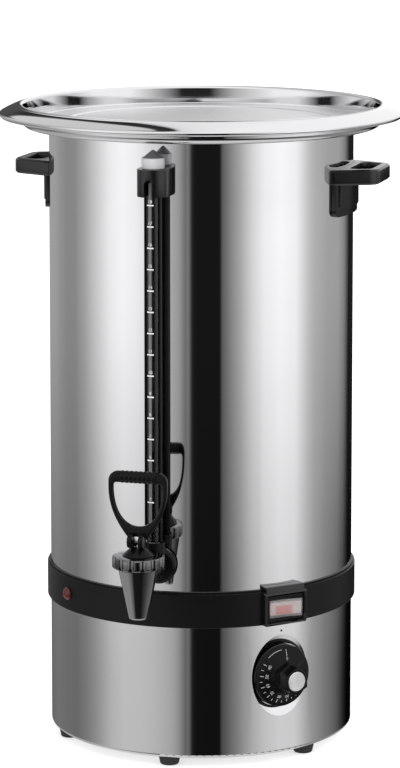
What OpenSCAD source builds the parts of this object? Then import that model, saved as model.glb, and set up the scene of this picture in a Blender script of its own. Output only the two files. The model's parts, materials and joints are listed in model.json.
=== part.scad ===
// Hot drink dispenser: a round steel urn with a tap, a sight gauge, side grips and a cup tray as its lid.
// Millimetres, +Z up. The origin is on the urn's axis, in the plane that it stands on. The tap points to -Y.

/* [Body] */
// Outer diameter of the vessel and the base
body_d = 262; // [250:1:300]
// Thickness of the steel sheet
sheet_t = 1; // [0.8:0.1:1.4]
// Height of the base shell, from its lower edge to the joint with the vessel
base_h = 114.6; // [108:0.1:140]
// Height of the vessel's wall, from the joint to its rim
vessel_h = 411.1; // [340:0.1:480]
// Height of the vessel's floor above the joint
floor_rise = 31; // [30:1:40]
// Inner radius of the corner between the floor and the wall
floor_corner_r = 6; // [4:1:6]
// Radius of the rolled rim
rim_roll_r = 2; // [1.5:0.1:2.2]
// Height of the base's tongue inside the vessel's skirt
joint_lap = 4.5; // [3:0.5:5]
// Outer radius of the base's rounded lower edge
base_edge_r = 3; // [2:0.5:4]
// Width of the base's return flange, from its outer edge
base_flange_w = 24; // [22:1:30]

/* [Feet] */
// Number of feet
foot_count = 6; // [3:1:8]
// Height of a foot
foot_h = 8; // [7:0.5:14]
// Diameter of a foot at the floor
foot_floor_d = 16; // [14:0.5:17]
// Diameter of a foot at the base
foot_top_d = 19; // [18:0.5:21]
// Distance from a foot's axis to the base's outer edge
foot_inset = 12; // [11:0.5:13]
// Angle from the tap to the first foot
foot_start = 2.5; // [0:0.5:30]
// Diameter of the foot screws
foot_screw_d = 4; // [3:0.5:4.5]
// Height of the screw seat inside a foot
foot_screw_seat = 4; // [3.5:0.5:5]

/* [Band] */
// Height of the band
band_h = 30.4; // [30:0.1:34]
// Thickness of the band
band_t = 2.9; // [2:0.1:4]
// How far the band covers the base below the joint
band_drop = 1.5; // [1:0.5:3]
// Height of the thin lip on the band's upper edge
band_lip_h = 1.6; // [1:0.1:3]
// Thickness of that lip
band_lip_t = 1.4; // [1:0.1:1.8]
// Radius of the band's outer edges
band_edge_r = 0.7; // [0.4:0.1:0.9]

/* [Tray] */
// How far the tray's flange reaches out past the body
tray_overhang = 41.5; // [38:0.5:60]
// How far the crest, where the flange meets the dish, stands outside the body
crest_overhang = 24; // [22:0.5:30]
// Thickness of the tray's sheet
tray_t = 1.2; // [1:0.1:1.5]
// Drop of the flange from the crest to its edge
flange_drop = 8.4; // [4:0.1:10]
// Height of the crest above the raised floor
tray_depth = 14; // [10:0.5:20]
// Depth of the gutter around the raised floor
gutter_depth = 4; // [2:0.5:6]
// Width of the gutter
gutter_w = 10; // [8:0.5:11]
// Radius of the gutter's outer corner
gutter_corner_r = 4.5; // [3:0.5:5]
// Distance from the body's outer edge in to the shallow recess of the raised floor
recess_inset = 15; // [12:0.5:40]
// Depth of that recess
recess_depth = 0.7; // [0.4:0.1:1]
// Height of the ring that centres the tray in the vessel
locator_h = 11; // [6:1:16]

/* [Handles] */
// How far a grip reaches out from the body
grip_reach = 30.7; // [30:0.1:42]
// Width of a grip where it meets the body
grip_root_w = 80; // [72:1:86]
// Width of a grip at its outer end
grip_end_w = 53; // [48:1:58]
// Height of a grip
grip_h = 13; // [10:0.5:16]
// Width of the grip's outer bar
grip_bar = 8.5; // [7:0.5:10]
// Width of the grip's two legs
grip_leg = 10; // [8:0.5:12]
// Depth of the grip's root against the body
grip_root = 6.5; // [6:0.5:9]
// Radius of the grip's outer corners
grip_corner_r = 12; // [6:0.5:13]
// Chamfer on the grip's edges
grip_chamfer = 1.6; // [0.8:0.1:2.5]
// Distance from the rim down to the top of a grip
grip_below_rim = 34.2; // [30:0.1:50]
// Height of the handle's back plate, with the grip
plate_h = 40.5; // [38:0.5:50]
// Thickness of the back plate's border
plate_t = 3.4; // [3:0.1:4.5]
// Height of the raised panel above that border
panel_rise = 1.2; // [0.6:0.1:2]
// Width of the border round the raised panel
panel_border = 6; // [4:0.5:9]
// Radius of the plate's corners
plate_corner_r = 6; // [4:0.5:8]
// Diameter of the handle screws
handle_screw_d = 5; // [4:0.5:5]

/* [Sight gauge] */
// Distance from the body to the gauge's axis
gauge_gap = 16.5; // [15:0.5:18]
// Outer diameter of the glass tube
tube_d = 12; // [10:0.5:12]
// Wall of the glass tube
tube_wall = 1.4; // [1:0.1:2]
// Outer diameter of the channel behind the tube
guard_d = 15; // [14.5:0.5:16]
// Angle of the channel's open front
guard_open = 130; // [90:5:160]
// Width of the top bracket
bracket_w = 26.5; // [22:0.5:28]
// Height of the top bracket
bracket_h = 22.6; // [20:0.2:30]
// Distance from the rim down to the top of the bracket
bracket_below_rim = 24.5; // [24:0.1:40]
// Width of the arch in the bracket's front
arch_w = 9; // [7:0.5:10]
// Height of that arch
arch_h = 14; // [10:0.5:16]
// Diameter of the cap nut
cap_d = 19; // [17:0.5:20]
// Height of the cap nut's round wall
cap_wall_h = 9.5; // [6:0.5:11]
// Height of the cap nut's pointed top
cap_point_h = 6; // [4:0.5:8]
// Outer diameter of the lower socket
socket_d = 19; // [18.5:0.5:21]
// Height of the lower socket's top above the tap's shank
socket_rise = 23; // [20:0.5:28]
// Height of a gauge seal
seal_h = 4; // [3:0.5:4.5]
// Thickness of the bracket's shelf under the upper seal
bracket_shelf = 4; // [3:0.5:5]
// How far the glass tube stands down in the lower socket
tube_seat = 11; // [9:0.5:13]

/* [Tap] */
// Distance from the body to the spout's axis
tap_reach = 61.5; // [54:0.5:75]
// Height of the tap's shank above the vessel's floor
shank_rise = 21.1; // [20:0.1:30]
// Outer diameter of the shank's thread
shank_d = 19; // [17:0.5:19.5]
// Diameter of the water way in the shank
shank_bore_d = 9.5; // [8:0.5:9.5]
// Diameter of the round flange on the body
flange_d = 31.5; // [30.5:0.5:40]
// Thickness of the round flange
flange_t = 6; // [4:0.5:8]
// Thickness of the shank's gaskets
gasket_t = 2; // [1.5:0.5:3]
// Diameter of the tube between the tee and the tap
neck_d = 17.6; // [16:0.2:18]
// Diameter of the spout at its outlet
spout_tip_d = 16; // [15:0.5:20]
// Diameter of the tap's body below the collar
tap_top_d = 33; // [32:0.5:36]
// Distance from the shank's axis down to the outlet
spout_drop = 31.2; // [30:0.2:45]
// Distance from the shank's axis up to the collar
tap_top_rise = 11.4; // [10:0.2:13]
// Diameter of the spout's bore
spout_bore_d = 11; // [9:0.5:11.5]
// Diameter of the valve chamber
chamber_d = 24; // [22:0.5:24.5]
// Diameter of the collar
collar_d = 43; // [40:0.5:46]
// Height of the collar
collar_h = 10; // [9:0.5:13]
// Number of lobes on the collar
collar_lobes = 14; // [8:1:20]
// Diameter of the bonnet's top
bonnet_top_d = 13.5; // [12:0.5:16]
// Height of the bonnet above the collar
bonnet_rise = 7; // [6.4:0.2:10]
// Diameter of the valve stem
stem_d = 5; // [4:0.5:5.5]
// Height of the lever's pivot above the bonnet's top
pivot_rise = 5.9; // [5.5:0.1:7]
// Offset of the lever's heel in front of its pivot
heel_offset = 6; // [4:0.5:7]
// Diameter of the lever's pivot pin
pivot_d = 3; // [2:0.5:3]
// Width of the lever's fork
fork_w = 13.5; // [12.5:0.5:16]
// Width of the D-shaped lever
lever_w = 50; // [44:0.5:56]
// Height of the lever above its pivot
lever_h = 56.2; // [52:0.2:66]
// Thickness of the lever
lever_t = 5.4; // [4.4:0.2:8]
// Width of the lever's two arms
lever_arm = 3.8; // [3:0.2:5]
// Diameter of the lever's grip bar
lever_bar_d = 9.4; // [8:0.2:12]
// Number of ribs on the grip bar
lever_ribs = 8; // [4:1:10]
// Wire diameter of the valve spring
spring_wire = 1.2; // [0.8:0.1:1.4]
// Number of turns of the valve spring
spring_turns = 6; // [4:1:7]

/* [Controls] */
// Angle from the tap to the switch and the thermostat knob
control_angle = 46.5; // [40:0.5:60]
// Angle from the tap to the pilot lamp
lamp_angle = -42.5; // [-60:0.5:-38]
// Height of the knob's axis above the base's lower edge
knob_rise = 67.5; // [60:0.5:74]
// Diameter of the knob's printed skirt
dial_d = 53; // [48:0.5:60]
// Height of the skirt's wall
dial_wall_h = 3.6; // [1.5:0.1:6]
// Rise of the printed skirt towards the grip
dial_rise = 5.5; // [4:0.5:9]
// Total height of the knob
knob_h = 26; // [23:0.5:34]
// Width across the grip's corners at its top
knob_grip_d = 23.6; // [23:0.2:27]
// Diameter of the knob's silver cap
knob_cap_d = 16.8; // [14:0.1:19]
// Depth of the flat pad pressed into the shell behind the knob
pad_depth = 3; // [2.5:0.1:3.5]
// How far the pad reaches past the knob's skirt
pad_margin = 0.5; // [0:0.5:5]
// Width of the slope round the pad
pad_slope = 8; // [4:0.5:10]
// Diameter of the thermostat's spindle
spindle_d = 6; // [5:0.5:6.5]
// Width of the switch frame
switch_frame_w = 41; // [40.5:0.5:48]
// Height of the switch frame
switch_frame_h = 28; // [26:0.5:28]
// How far the switch frame stands out from the band
switch_frame_out = 5.5; // [5:0.5:8]
// Width of the switch's body
switch_w = 34; // [31:0.5:34]
// Height of the switch's body
switch_h = 21; // [19:0.5:21]
// Depth of the switch's body behind the band
switch_depth = 31; // [28:0.5:33]
// Depth of the rocker's well under its pivot
rocker_well = 9; // [8:0.5:10]
// Length of the switch's terminals
terminal_l = 9; // [7:0.5:10]
// Tilt of the rocker to either side
rocker_tilt = 8; // [5:0.5:9]
// Diameter of the lamp's lens
lamp_d = 11; // [9:0.5:13]
// Height of the lens
lamp_rise = 4; // [2.5:0.5:5]
// Height of the cord gland above the base's lower edge
gland_rise = 28; // [24:1:40]
// Diameter of the cord gland's hole
cord_hole_d = 8; // [6:0.5:9]

/* [Heating] */
// Distance from the body's outer edge in to the plate that spreads the heat
spreader_inset = 37; // [35:1:50]
// Thickness of that plate
spreader_t = 4; // [3:0.5:5]
// Distance from that plate's edge in to the heater
heater_inset = 25; // [20:1:35]
// Diameter of the heater's tube
heater_tube_d = 8.4; // [6:0.2:9]
// Open angle between the heater's ends
heater_gap_angle = 40; // [30:1:60]
// Diameter of the temperature sensor's bulb
bulb_d = 6.4; // [5:0.2:8]
// Length of that bulb
bulb_l = 50; // [40:1:54]
// Diameter of the cutout's flange, against which the bulb's inner end lies
cutout_d = 22; // [20:0.5:24]
// Distance from the body's outer edge in to the terminal block
terminal_inset = 62; // [56:1:80]

/* [Fits] */
// Gap between pieces that move past each other
run_gap = 0.3; // [0.2:0.05:0.4]
// Gap between fixed pieces that slip together
slip_gap = 0.12; // [0.05:0.01:0.2]
// Radial gap of a pin or a shaft in its bore
shaft_gap = 0.05; // [0.02:0.01:0.08]

/* [Hidden] */
$fn = 96;

// Past a face that a cut goes through
over = 2;
// Reach of a cut that only has to clear the whole body
far = 400;

// Body
body_r = body_d / 2;
inner_r = body_r - sheet_t;
joint_z = foot_h + base_h;
floor_z = joint_z + floor_rise;
rim_z = joint_z + vessel_h;
tongue_r = inner_r - slip_gap;
base_plate_r = body_r - base_edge_r - 1;
base_plate_z = foot_h + sheet_t;

// Feet
foot_ring_r = body_r - foot_inset;
foot_screw_head_d = 2 * foot_screw_d;
foot_screw_head_h = 0.6 * foot_screw_d;
nut_h = 0.8 * foot_screw_d;
nut_d = 2 * foot_screw_d;

// Band
band_r = body_r + slip_gap + band_t;
band_z = joint_z - band_drop;
band_top_z = band_z + band_h;

// Tray, along the middle of its sheet
tray_floor_z = rim_z + run_gap + tray_t / 2;
tray_crest_z = tray_floor_z + tray_depth;
tray_r = body_r + tray_overhang;
crest_r = body_r + crest_overhang;
recess_r = body_r - recess_inset;
tray_wall_r = crest_r - tray_t;
gutter_z = tray_floor_z - gutter_depth;
gutter_in_r = tray_wall_r - gutter_w;
locator_r = body_r - 2 * rim_roll_r - 0.5;

// Handles
grip_z = rim_z - grip_below_rim - grip_h;
grip_out_r = body_r + grip_reach;
plate_z = rim_z - grip_below_rim - plate_h;
handle_angles = [-90, 90];
handle_screw_zs = [plate_z + 10, grip_z + grip_h / 2];
handle_screw_depth = 3.4;

// Sight gauge
gauge_r = body_r + gauge_gap;
tube_r = tube_d / 2;
guard_r = guard_d / 2;
guard_in_r = tube_r + slip_gap;
bracket_z = rim_z - bracket_below_rim - bracket_h;
bracket_top_z = bracket_z + bracket_h;
bracket_screw_d = 3;
bracket_screw_z = bracket_z + bracket_h / 2;
bracket_screw_xs = [-1, 1] * (guard_r + 1.1);
bracket_screw_depth = 5;
seal_r = tube_r + 1;

// Tap
tap_r = body_r + tap_reach;
shank_z = floor_z + shank_rise;
shank_r = shank_d / 2;
shank_in = 26;
shank_seat_r = shank_r + 4;
shank_nut_face = sqrt(pow(inner_r, 2) - pow(shank_seat_r, 2)) - gasket_t;
socket_top_z = shank_z + socket_rise;
tube_z = socket_top_z - tube_seat;
tap_socket_r = neck_d / 2;
tap_socket_out = 22;
shank_neck_r = tap_socket_r;
spigot_r = tap_socket_r - 2;
spigot_h = 7;
tap_top_z = shank_z + tap_top_rise;
tap_neck_r = tap_top_d / 2 - 1.5;
tap_neck_h = 6;
spout_z = shank_z - spout_drop;
chamber_r = chamber_d / 2;
seat_r = spout_bore_d / 2;
seat_z = shank_z - 10.5;
seat_h = 5.5;
collar_z = tap_top_z + run_gap;
collar_top_z = tap_top_z + collar_h;
collar_lip_h = 1.6;
bonnet_flange_z = tap_top_z + tap_neck_h;
bonnet_flange_h = collar_top_z - collar_lip_h - slip_gap - bonnet_flange_z;
bonnet_dome_r = tap_neck_r - 2.2;
bonnet_top_z = collar_top_z + bonnet_rise;
pocket_r = 9;
pocket_top_z = collar_top_z + 1.5;
pivot_z = bonnet_top_z + pivot_rise;
hub_r = pivot_rise - run_gap;
stem_r = stem_d / 2;
stem_end_z = seat_z + 3.5;
stem_collar_z = shank_z + 0.2;
stem_collar_h = 1.5;
eye_r = 4.2;
eye_t = 4.8;
pin_r = pivot_d / 2;
lever_top_z = pivot_z + lever_h;
lever_bar_r = lever_bar_d / 2;
lever_corner_r = 8;
spring_r = 6.8;
spring_z = stem_collar_z + stem_collar_h + spring_wire / 2 + 0.1;
spring_top_z = pocket_top_z - spring_wire / 2 - 0.1;

// Controls
knob_z = foot_h + knob_rise;
switch_z = band_z + band_h / 2 - 1.2;
lamp_z = band_z + band_h / 2 - 0.7;
gland_z = foot_h + gland_rise;
pad_front = body_r - pad_depth;
pad_back = pad_front - sheet_t;
dial_back = pad_front + 1.6;
dial_r = dial_d / 2;
pad_r = dial_r + pad_margin;
knob_front = dial_back + knob_h;
knob_grip_r = knob_grip_d / 2;
knob_cap_t = 1.4;
spindle_r = spindle_d / 2;
bush_r = 5;
thermostat_front = body_r - 6;
thermostat_side = 36;
thermostat_depth = 26;
bush_nut_h = 2.6;
switch_front = band_r + 3;
switch_back = band_r - switch_depth;
switch_face = band_r + switch_frame_out;
rocker_pivot = band_r;
rocker_len = switch_w - 5.6;
rocker_h = switch_h - 6;
rocker_pin_r = 1.2;
lamp_stem_r = lamp_d / 2 - 1.5;
lamp_seat = sqrt(pow(inner_r, 2) - pow(lamp_stem_r + 3.5, 2)) - slip_gap;
gland_r = 8;

// Heating
spreader_z = floor_z - sheet_t - spreader_t;
spreader_r = body_r - spreader_inset;
heater_r = spreader_r - heater_inset;
bulb_start = cutout_d / 2;
bulb_end = bulb_start + bulb_l;
heater_z = spreader_z - heater_tube_d / 2 - shaft_gap;
bulb_z = spreader_z - bulb_d / 2 - shaft_gap;

echo(spring_gap = (spring_top_z - spring_z) / spring_turns - spring_wire);

// A frame on the wall: +Z out of the wall from the body's axis, +Y up, +X to the right seen from outside
module on_wall(angle, z) {
  rotate([0, 0, angle]) translate([0, 0, z]) rotate([90, 0, 0]) children();
}

// The tap's vertical axis
module at_tap() {
  translate([0, -tap_r, 0]) children();
}

// The gauge's vertical axis
module at_gauge() {
  translate([0, -gauge_r, 0]) children();
}

module ring(r, bore, h) {
  difference() {
    cylinder(r = r, h = h);
    translate([0, 0, -over]) cylinder(r = bore, h = h + 2 * over);
  }
}

module hex_nut(across, bore, h) {
  difference() {
    cylinder(d = across / cos(30), h = h, $fn = 6);
    translate([0, 0, -over]) cylinder(r = bore, h = h + 2 * over);
  }
}

// A full-height cylinder on the body's axis, for what sits against the wall
module body_cylinder(r) {
  cylinder(r = r, h = 2 * far, $fn = 360);
}

// A rectangle with round corners, between two opposite corners
module round_rect(low, high, r) {
  translate([low[0] + r, low[1]]) square([high[0] - low[0] - 2 * r, high[1] - low[1]]);
  translate([low[0], low[1] + r]) square([high[0] - low[0], high[1] - low[1] - 2 * r]);
  for (x = [low[0] + r, high[0] - r]) {
    for (y = [low[1] + r, high[1] - r]) {
      translate([x, y]) circle(r);
    }
  }
}

// A quarter of a round sheet corner, opening up and inwards
module sheet_corner(r, t) {
  intersection() {
    difference() {
      circle(r + t);
      circle(r);
    }
    translate([0, -r - t]) square(r + t);
  }
}

// Direction from one point of a path to the next, and the sheet's mitred offset at a point
function heading(p, i) = (p[i + 1] - p[i]) / norm(p[i + 1] - p[i]);
function mitre(p, i) =
  let (
    a = heading(p, max(i - 1, 0)),
    b = heading(p, min(i, len(p) - 2)),
    side = [-a[1] - b[1], a[0] + b[0]] / norm(a + b)
  )
  side / (side * [-a[1], a[0]]);

// Sheet of one thickness along a path
module sheet_path(points, t) {
  last = len(points) - 1;
  polygon(concat(
    [for (i = [0 : last]) points[i] - mitre(points, i) * t / 2],
    [for (i = [last : -1 : 0]) points[i] + mitre(points, i) * t / 2]
  ));
}

// An extrusion along the local Y axis, centred on it
module along_y(h) {
  rotate([90, 0, 0]) linear_extrude(h, center = true) children();
}

function arc(centre, r, from, to, steps) = [
  for (i = [0 : steps])
    let (a = from + (to - from) * i / steps)
      centre + r * [cos(a), sin(a)]
];

// Cuts through the wall for what is mounted on it
module switch_cut() {
  on_wall(control_angle, switch_z) translate([0, 0, body_r - 20]) linear_extrude(60)
    square([switch_w + 2 * run_gap, switch_h + 2 * run_gap], center = true);
}

module lamp_cut() {
  on_wall(lamp_angle, lamp_z) translate([0, 0, body_r - 20]) cylinder(r = lamp_stem_r + slip_gap, h = 40);
}

module vessel() {
  color("silver") difference() {
    rotate_extrude() {
      translate([inner_r, joint_z]) square([sheet_t, vessel_h - rim_roll_r]);
      translate([body_r - rim_roll_r, rim_z - rim_roll_r]) circle(rim_roll_r);
      translate([0, floor_z - sheet_t]) square([inner_r - floor_corner_r, sheet_t]);
      translate([inner_r - floor_corner_r, floor_z + floor_corner_r]) sheet_corner(floor_corner_r, sheet_t);
    }
    on_wall(0, shank_z) translate([0, 0, body_r - shank_in])
      cylinder(r = shank_r + slip_gap, h = 2 * shank_in);
    for (x = bracket_screw_xs) {
      on_wall(0, bracket_screw_z) translate([x, 0, inner_r - over])
        cylinder(d = bracket_screw_d + 2 * slip_gap, h = sheet_t + 2 * over);
    }
    for (a = handle_angles, z = handle_screw_zs) {
      on_wall(a, z) translate([0, 0, inner_r - over])
        cylinder(d = handle_screw_d + 2 * slip_gap, h = sheet_t + 2 * over);
    }
    switch_cut();
    lamp_cut();
  }
}

module base_shell() {
  ledge_z = joint_z - sheet_t;
  color("silver") difference() {
    union() {
      rotate_extrude() {
        translate([inner_r, foot_h + base_edge_r]) square([sheet_t, base_h - base_edge_r]);
        translate([tongue_r - sheet_t, ledge_z]) square([body_r - tongue_r + sheet_t, sheet_t]);
        translate([tongue_r - sheet_t, ledge_z]) square([sheet_t, sheet_t + joint_lap]);
        translate([body_r - base_flange_w, foot_h]) square([base_flange_w - base_edge_r, sheet_t]);
        translate([body_r - base_edge_r, foot_h + base_edge_r]) sheet_corner(base_edge_r - sheet_t, sheet_t);
      }
      intersection() {
        knob_pad(sheet_t);
        cylinder(r = inner_r + sheet_t / 2, h = joint_z);
      }
    }
    knob_pad(0);
    foot_places() translate([0, 0, -over])
      cylinder(d = foot_screw_d + 2 * slip_gap, h = foot_h + sheet_t + 2 * over);
    on_wall(control_angle, knob_z) translate([0, 0, inner_r - 20]) cylinder(r = bush_r + slip_gap, h = 40);
    on_wall(180, gland_z) translate([0, 0, inner_r - 20]) cylinder(r = gland_r + slip_gap, h = 40);
    switch_cut();
  }
}

// Space in front of the pad and its slope, grown by a sheet's thickness for the back of the sheet
module knob_pad(grow) {
  slope = atan2(pad_depth, pad_slope);
  h = pad_depth + grow + 4;
  r = pad_r + grow * tan(slope / 2);
  on_wall(control_angle, knob_z) translate([0, 0, pad_front - grow])
    cylinder(r1 = r, r2 = r + h / tan(slope), h = h);
}

module foot_places() {
  for (i = [0 : foot_count - 1]) {
    rotate([0, 0, foot_start + 360 * i / foot_count]) translate([0, -foot_ring_r, 0]) children();
  }
}

module base_plate() {
  color("gainsboro") difference() {
    translate([0, 0, base_plate_z]) cylinder(r = base_plate_r, h = sheet_t);
    foot_places() cylinder(d = foot_screw_d + 2 * slip_gap, h = base_plate_z + sheet_t + over);
  }
}

module feet() {
  edge = 0.8;
  color("black") foot_places() difference() {
    rotate_extrude() polygon([
      [0, 0], [foot_floor_d / 2 - edge, 0], [foot_floor_d / 2, edge], [foot_top_d / 2, foot_h], [0, foot_h]
    ]);
    translate([0, 0, -over]) cylinder(d = foot_screw_head_d + 1, h = foot_screw_seat + over);
    translate([0, 0, -over]) cylinder(d = foot_screw_d + 2 * slip_gap, h = foot_h + 2 * over);
  }
}

module foot_screws() {
  head_z = foot_screw_seat - foot_screw_head_h;
  end_z = base_plate_z + sheet_t + nut_h + 1;
  color("silver") foot_places() translate([0, 0, head_z]) {
    cylinder(d = foot_screw_head_d, h = foot_screw_head_h);
    cylinder(d = foot_screw_d, h = end_z - head_z);
  }
}

module foot_nuts() {
  color("silver") foot_places() translate([0, 0, base_plate_z + sheet_t])
    hex_nut(nut_d, foot_screw_d / 2 + shaft_gap, nut_h);
}

module band() {
  color("#202022") difference() {
    rotate_extrude() {
      low = [body_r + slip_gap, band_z];
      round_rect(low, [band_r, band_top_z - band_lip_h], band_edge_r);
      translate(low) square([band_t - band_edge_r, band_h - band_lip_h]);
      translate(low) square([band_lip_t, band_h]);
    }
    switch_cut();
    lamp_cut();
  }
}

module tray() {
  edge = [tray_r - tray_t / 2, tray_crest_z - flange_drop];
  crest = [crest_r, tray_crest_z];
  wall_top = [tray_wall_r, tray_crest_z - tray_t];
  corner = [tray_wall_r - gutter_corner_r, gutter_z + gutter_corner_r];
  step = 1.5;
  color("silver") rotate_extrude() {
    sheet_path(concat(
      [edge, crest, wall_top],
      arc(corner, gutter_corner_r, 0, -90, 6),
      [[gutter_in_r + step, gutter_z], [gutter_in_r - step, tray_floor_z]],
      [[recess_r, tray_floor_z], [recess_r - step, tray_floor_z - recess_depth]],
      [[0, tray_floor_z - recess_depth]]
    ), tray_t);
    translate(edge) circle(d = tray_t * 1.5);
    translate([locator_r - tray_t, tray_floor_z - locator_h]) square([tray_t, locator_h]);
  }
}

// Plan of the grip, its sides carried on into the body
module grip_plan(inset) {
  taper = (grip_root_w - grip_end_w) / 2 / grip_reach;
  back = 20;
  root = grip_root_w / 2 + back * taper;
  offset(r = grip_corner_r - inset) offset(delta = -grip_corner_r) polygon([
    [-root, -body_r + back], [root, -body_r + back],
    [grip_end_w / 2, -grip_out_r], [-grip_end_w / 2, -grip_out_r]
  ]);
}

module finger_plan(grow) {
  taper = (grip_root_w - grip_end_w) / 2 / grip_reach;
  near = body_r + grip_root;
  out = grip_out_r - grip_bar;
  near_w = grip_root_w / 2 - grip_leg - taper * grip_root;
  out_w = grip_end_w / 2 - grip_leg + taper * grip_bar;
  corner = 5;
  offset(r = corner + grow) offset(delta = -corner)
    polygon([[-near_w, -near], [near_w, -near], [out_w, -out], [-out_w, -out]]);
}

module grip() {
  flat = grip_h - 2 * grip_chamfer;
  difference() {
    hull() {
      translate([0, 0, grip_chamfer]) linear_extrude(flat) grip_plan(0, $fn = 32);
      linear_extrude(grip_h) grip_plan(grip_chamfer, $fn = 32);
    }
    hull() {
      translate([0, 0, grip_chamfer]) linear_extrude(flat) finger_plan(0, $fn = 32);
      translate([0, 0, grip_h]) linear_extrude(over) finger_plan(grip_chamfer, $fn = 32);
    }
    hull() {
      translate([0, 0, grip_chamfer]) linear_extrude(flat) finger_plan(0, $fn = 32);
      translate([0, 0, -over]) linear_extrude(over) finger_plan(grip_chamfer, $fn = 32);
    }
  }
}

// A plate of the given outline bent round the body
module bent_plate(border, t) {
  w = grip_root_w / 2 - border;
  intersection() {
    body_cylinder(body_r + t);
    on_wall(0, plate_z) linear_extrude(far)
      round_rect([-w, border], [w, plate_h - grip_chamfer], plate_corner_r - border / 3);
  }
}

module handle(angle) {
  color("#1c1c1e") difference() {
    rotate([0, 0, angle]) {
      bent_plate(0, plate_t);
      bent_plate(panel_border, plate_t + panel_rise);
      translate([0, 0, grip_z]) grip();
    }
    body_cylinder(body_r + slip_gap);
    for (z = handle_screw_zs) {
      on_wall(angle, z) cylinder(d = handle_screw_d + 2 * shaft_gap, h = body_r + handle_screw_depth + 0.3);
    }
  }
}

module handle_left() {
  handle(handle_angles[0]);
}

module handle_right() {
  handle(handle_angles[1]);
}

// A screw from inside the vessel, beside the local axis, with its head on the inner wall
module wall_screw(d, depth, x) {
  head_h = 0.6 * d;
  seat = sqrt(inner_r * inner_r - pow(abs(x) + d, 2)) - shaft_gap;
  translate([x, 0, 0]) {
    cylinder_between(d, seat - head_h, seat);
    cylinder_between(d / 2, seat - head_h, body_r + depth);
  }
}

module handle_screws() {
  color("silver") for (a = handle_angles, z = handle_screw_zs) {
    on_wall(a, z) wall_screw(handle_screw_d, handle_screw_depth, 0);
  }
}

module bracket_screws() {
  color("silver") for (x = bracket_screw_xs) {
    on_wall(0, bracket_screw_z) wall_screw(bracket_screw_d, bracket_screw_depth, x);
  }
}

module gauge_tube() {
  color("white", 0.4) at_gauge() translate([0, 0, tube_z])
    ring(tube_r, tube_r - tube_wall, bracket_top_z - 1.5 - tube_z);
}

// A channel behind the tube, open to the front
module gauge_guard() {
  h = bracket_top_z - seal_h - bracket_shelf - slip_gap - socket_top_z;
  color("#141416") at_gauge() translate([0, 0, socket_top_z]) difference() {
    ring(guard_r, guard_in_r, h);
    translate([0, 0, -over]) linear_extrude(h + 2 * over) polygon([
      [0, 0],
      for (a = [-guard_open / 2, 0, guard_open / 2]) 2 * guard_d * [sin(a), -cos(a)]
    ]);
  }
}

module gauge_bracket() {
  arch_top = bracket_z + arch_h - arch_w / 2;
  edge = 1;
  color("#161618") difference() {
    translate([0, 0, bracket_z]) linear_extrude(bracket_h) {
      translate([0, -gauge_r]) circle(d = bracket_w);
      translate([-bracket_w / 2, -gauge_r]) square([bracket_w, gauge_gap + bracket_w / 2]);
    }
    body_cylinder(body_r + slip_gap);
    at_gauge() {
      translate([0, 0, bracket_z - over])
        cylinder(r = guard_r + slip_gap, h = bracket_h - seal_h - bracket_shelf + over);
      translate([0, 0, bracket_z - over]) cylinder(r = tube_r + slip_gap, h = bracket_h + 2 * over);
      translate([0, 0, bracket_top_z - seal_h]) cylinder(r = seal_r + slip_gap, h = seal_h + over);
      translate([-arch_w / 2, -bracket_w, bracket_z - over])
        cube([arch_w, bracket_w, arch_top - bracket_z + over]);
      translate([0, 0, arch_top]) rotate([90, 0, 0]) cylinder(d = arch_w, h = bracket_w);
    }
    for (x = bracket_screw_xs) {
      on_wall(0, bracket_screw_z) translate([x, 0, 0])
        cylinder(d = bracket_screw_d + 2 * shaft_gap, h = body_r + bracket_screw_depth + 0.3);
    }
  }
}

module gauge_cap() {
  edge = 0.6;
  tip = 2.6;
  r = cap_d / 2;
  hollow_r = 3;
  color("gainsboro") at_gauge() translate([0, 0, bracket_top_z]) rotate_extrude() polygon(concat(
    [[hollow_r, 0], [r - edge, 0], [r, edge], [r, cap_wall_h - edge], [r - edge, cap_wall_h]],
    [[r - 2 * edge, cap_wall_h]],
    arc([0, cap_wall_h + cap_point_h - tip], tip, 40, 90, 4),
    [[0, cap_wall_h - edge], [hollow_r, cap_wall_h - edge - hollow_r]]
  ));
}

module gauge_lower_seal() {
  color("white") at_gauge() translate([0, 0, socket_top_z - seal_h])
    ring(seal_r, tube_r + shaft_gap, seal_h - slip_gap);
}

module gauge_upper_seal() {
  color("white") at_gauge() translate([0, 0, bracket_top_z - seal_h])
    ring(seal_r, tube_r + shaft_gap, seal_h - slip_gap);
}

// The shank through the wall, its round flange and the tee that carries the gauge
module tap_shank() {
  flange_back = body_r + gasket_t;
  flange_front = flange_back + flange_t;
  shoulder = tap_r - tap_socket_out - slip_gap;
  round_r = flange_t * 0.6;
  color("#1a1a1c") difference() {
    union() {
      on_wall(0, shank_z) {
        cylinder_between(shank_r, body_r - shank_in, flange_back + over);
        rotate_extrude() polygon(concat(
          [[0, flange_back], [flange_d / 2, flange_back]],
          arc([flange_d / 2 - round_r, flange_front - round_r], round_r, 0, 90, 8),
          [[0, flange_front]]
        ));
        cylinder_between(shank_neck_r, flange_back, shoulder);
        cylinder_between(spigot_r, flange_back, shoulder + spigot_h);
      }
      difference() {
        at_gauge() translate([0, 0, shank_z]) cylinder(d = socket_d, h = socket_rise);
        body_cylinder(flange_back);
      }
    }
    on_wall(0, shank_z) cylinder(d = shank_bore_d, h = far);
    at_gauge() {
      translate([0, 0, shank_z]) cylinder(r = tube_r - tube_wall, h = socket_rise + over);
      translate([0, 0, tube_z]) cylinder(r = tube_r + slip_gap, h = socket_rise);
      translate([0, 0, socket_top_z - seal_h]) cylinder(r = seal_r + slip_gap, h = seal_h + over);
    }
  }
}

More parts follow.
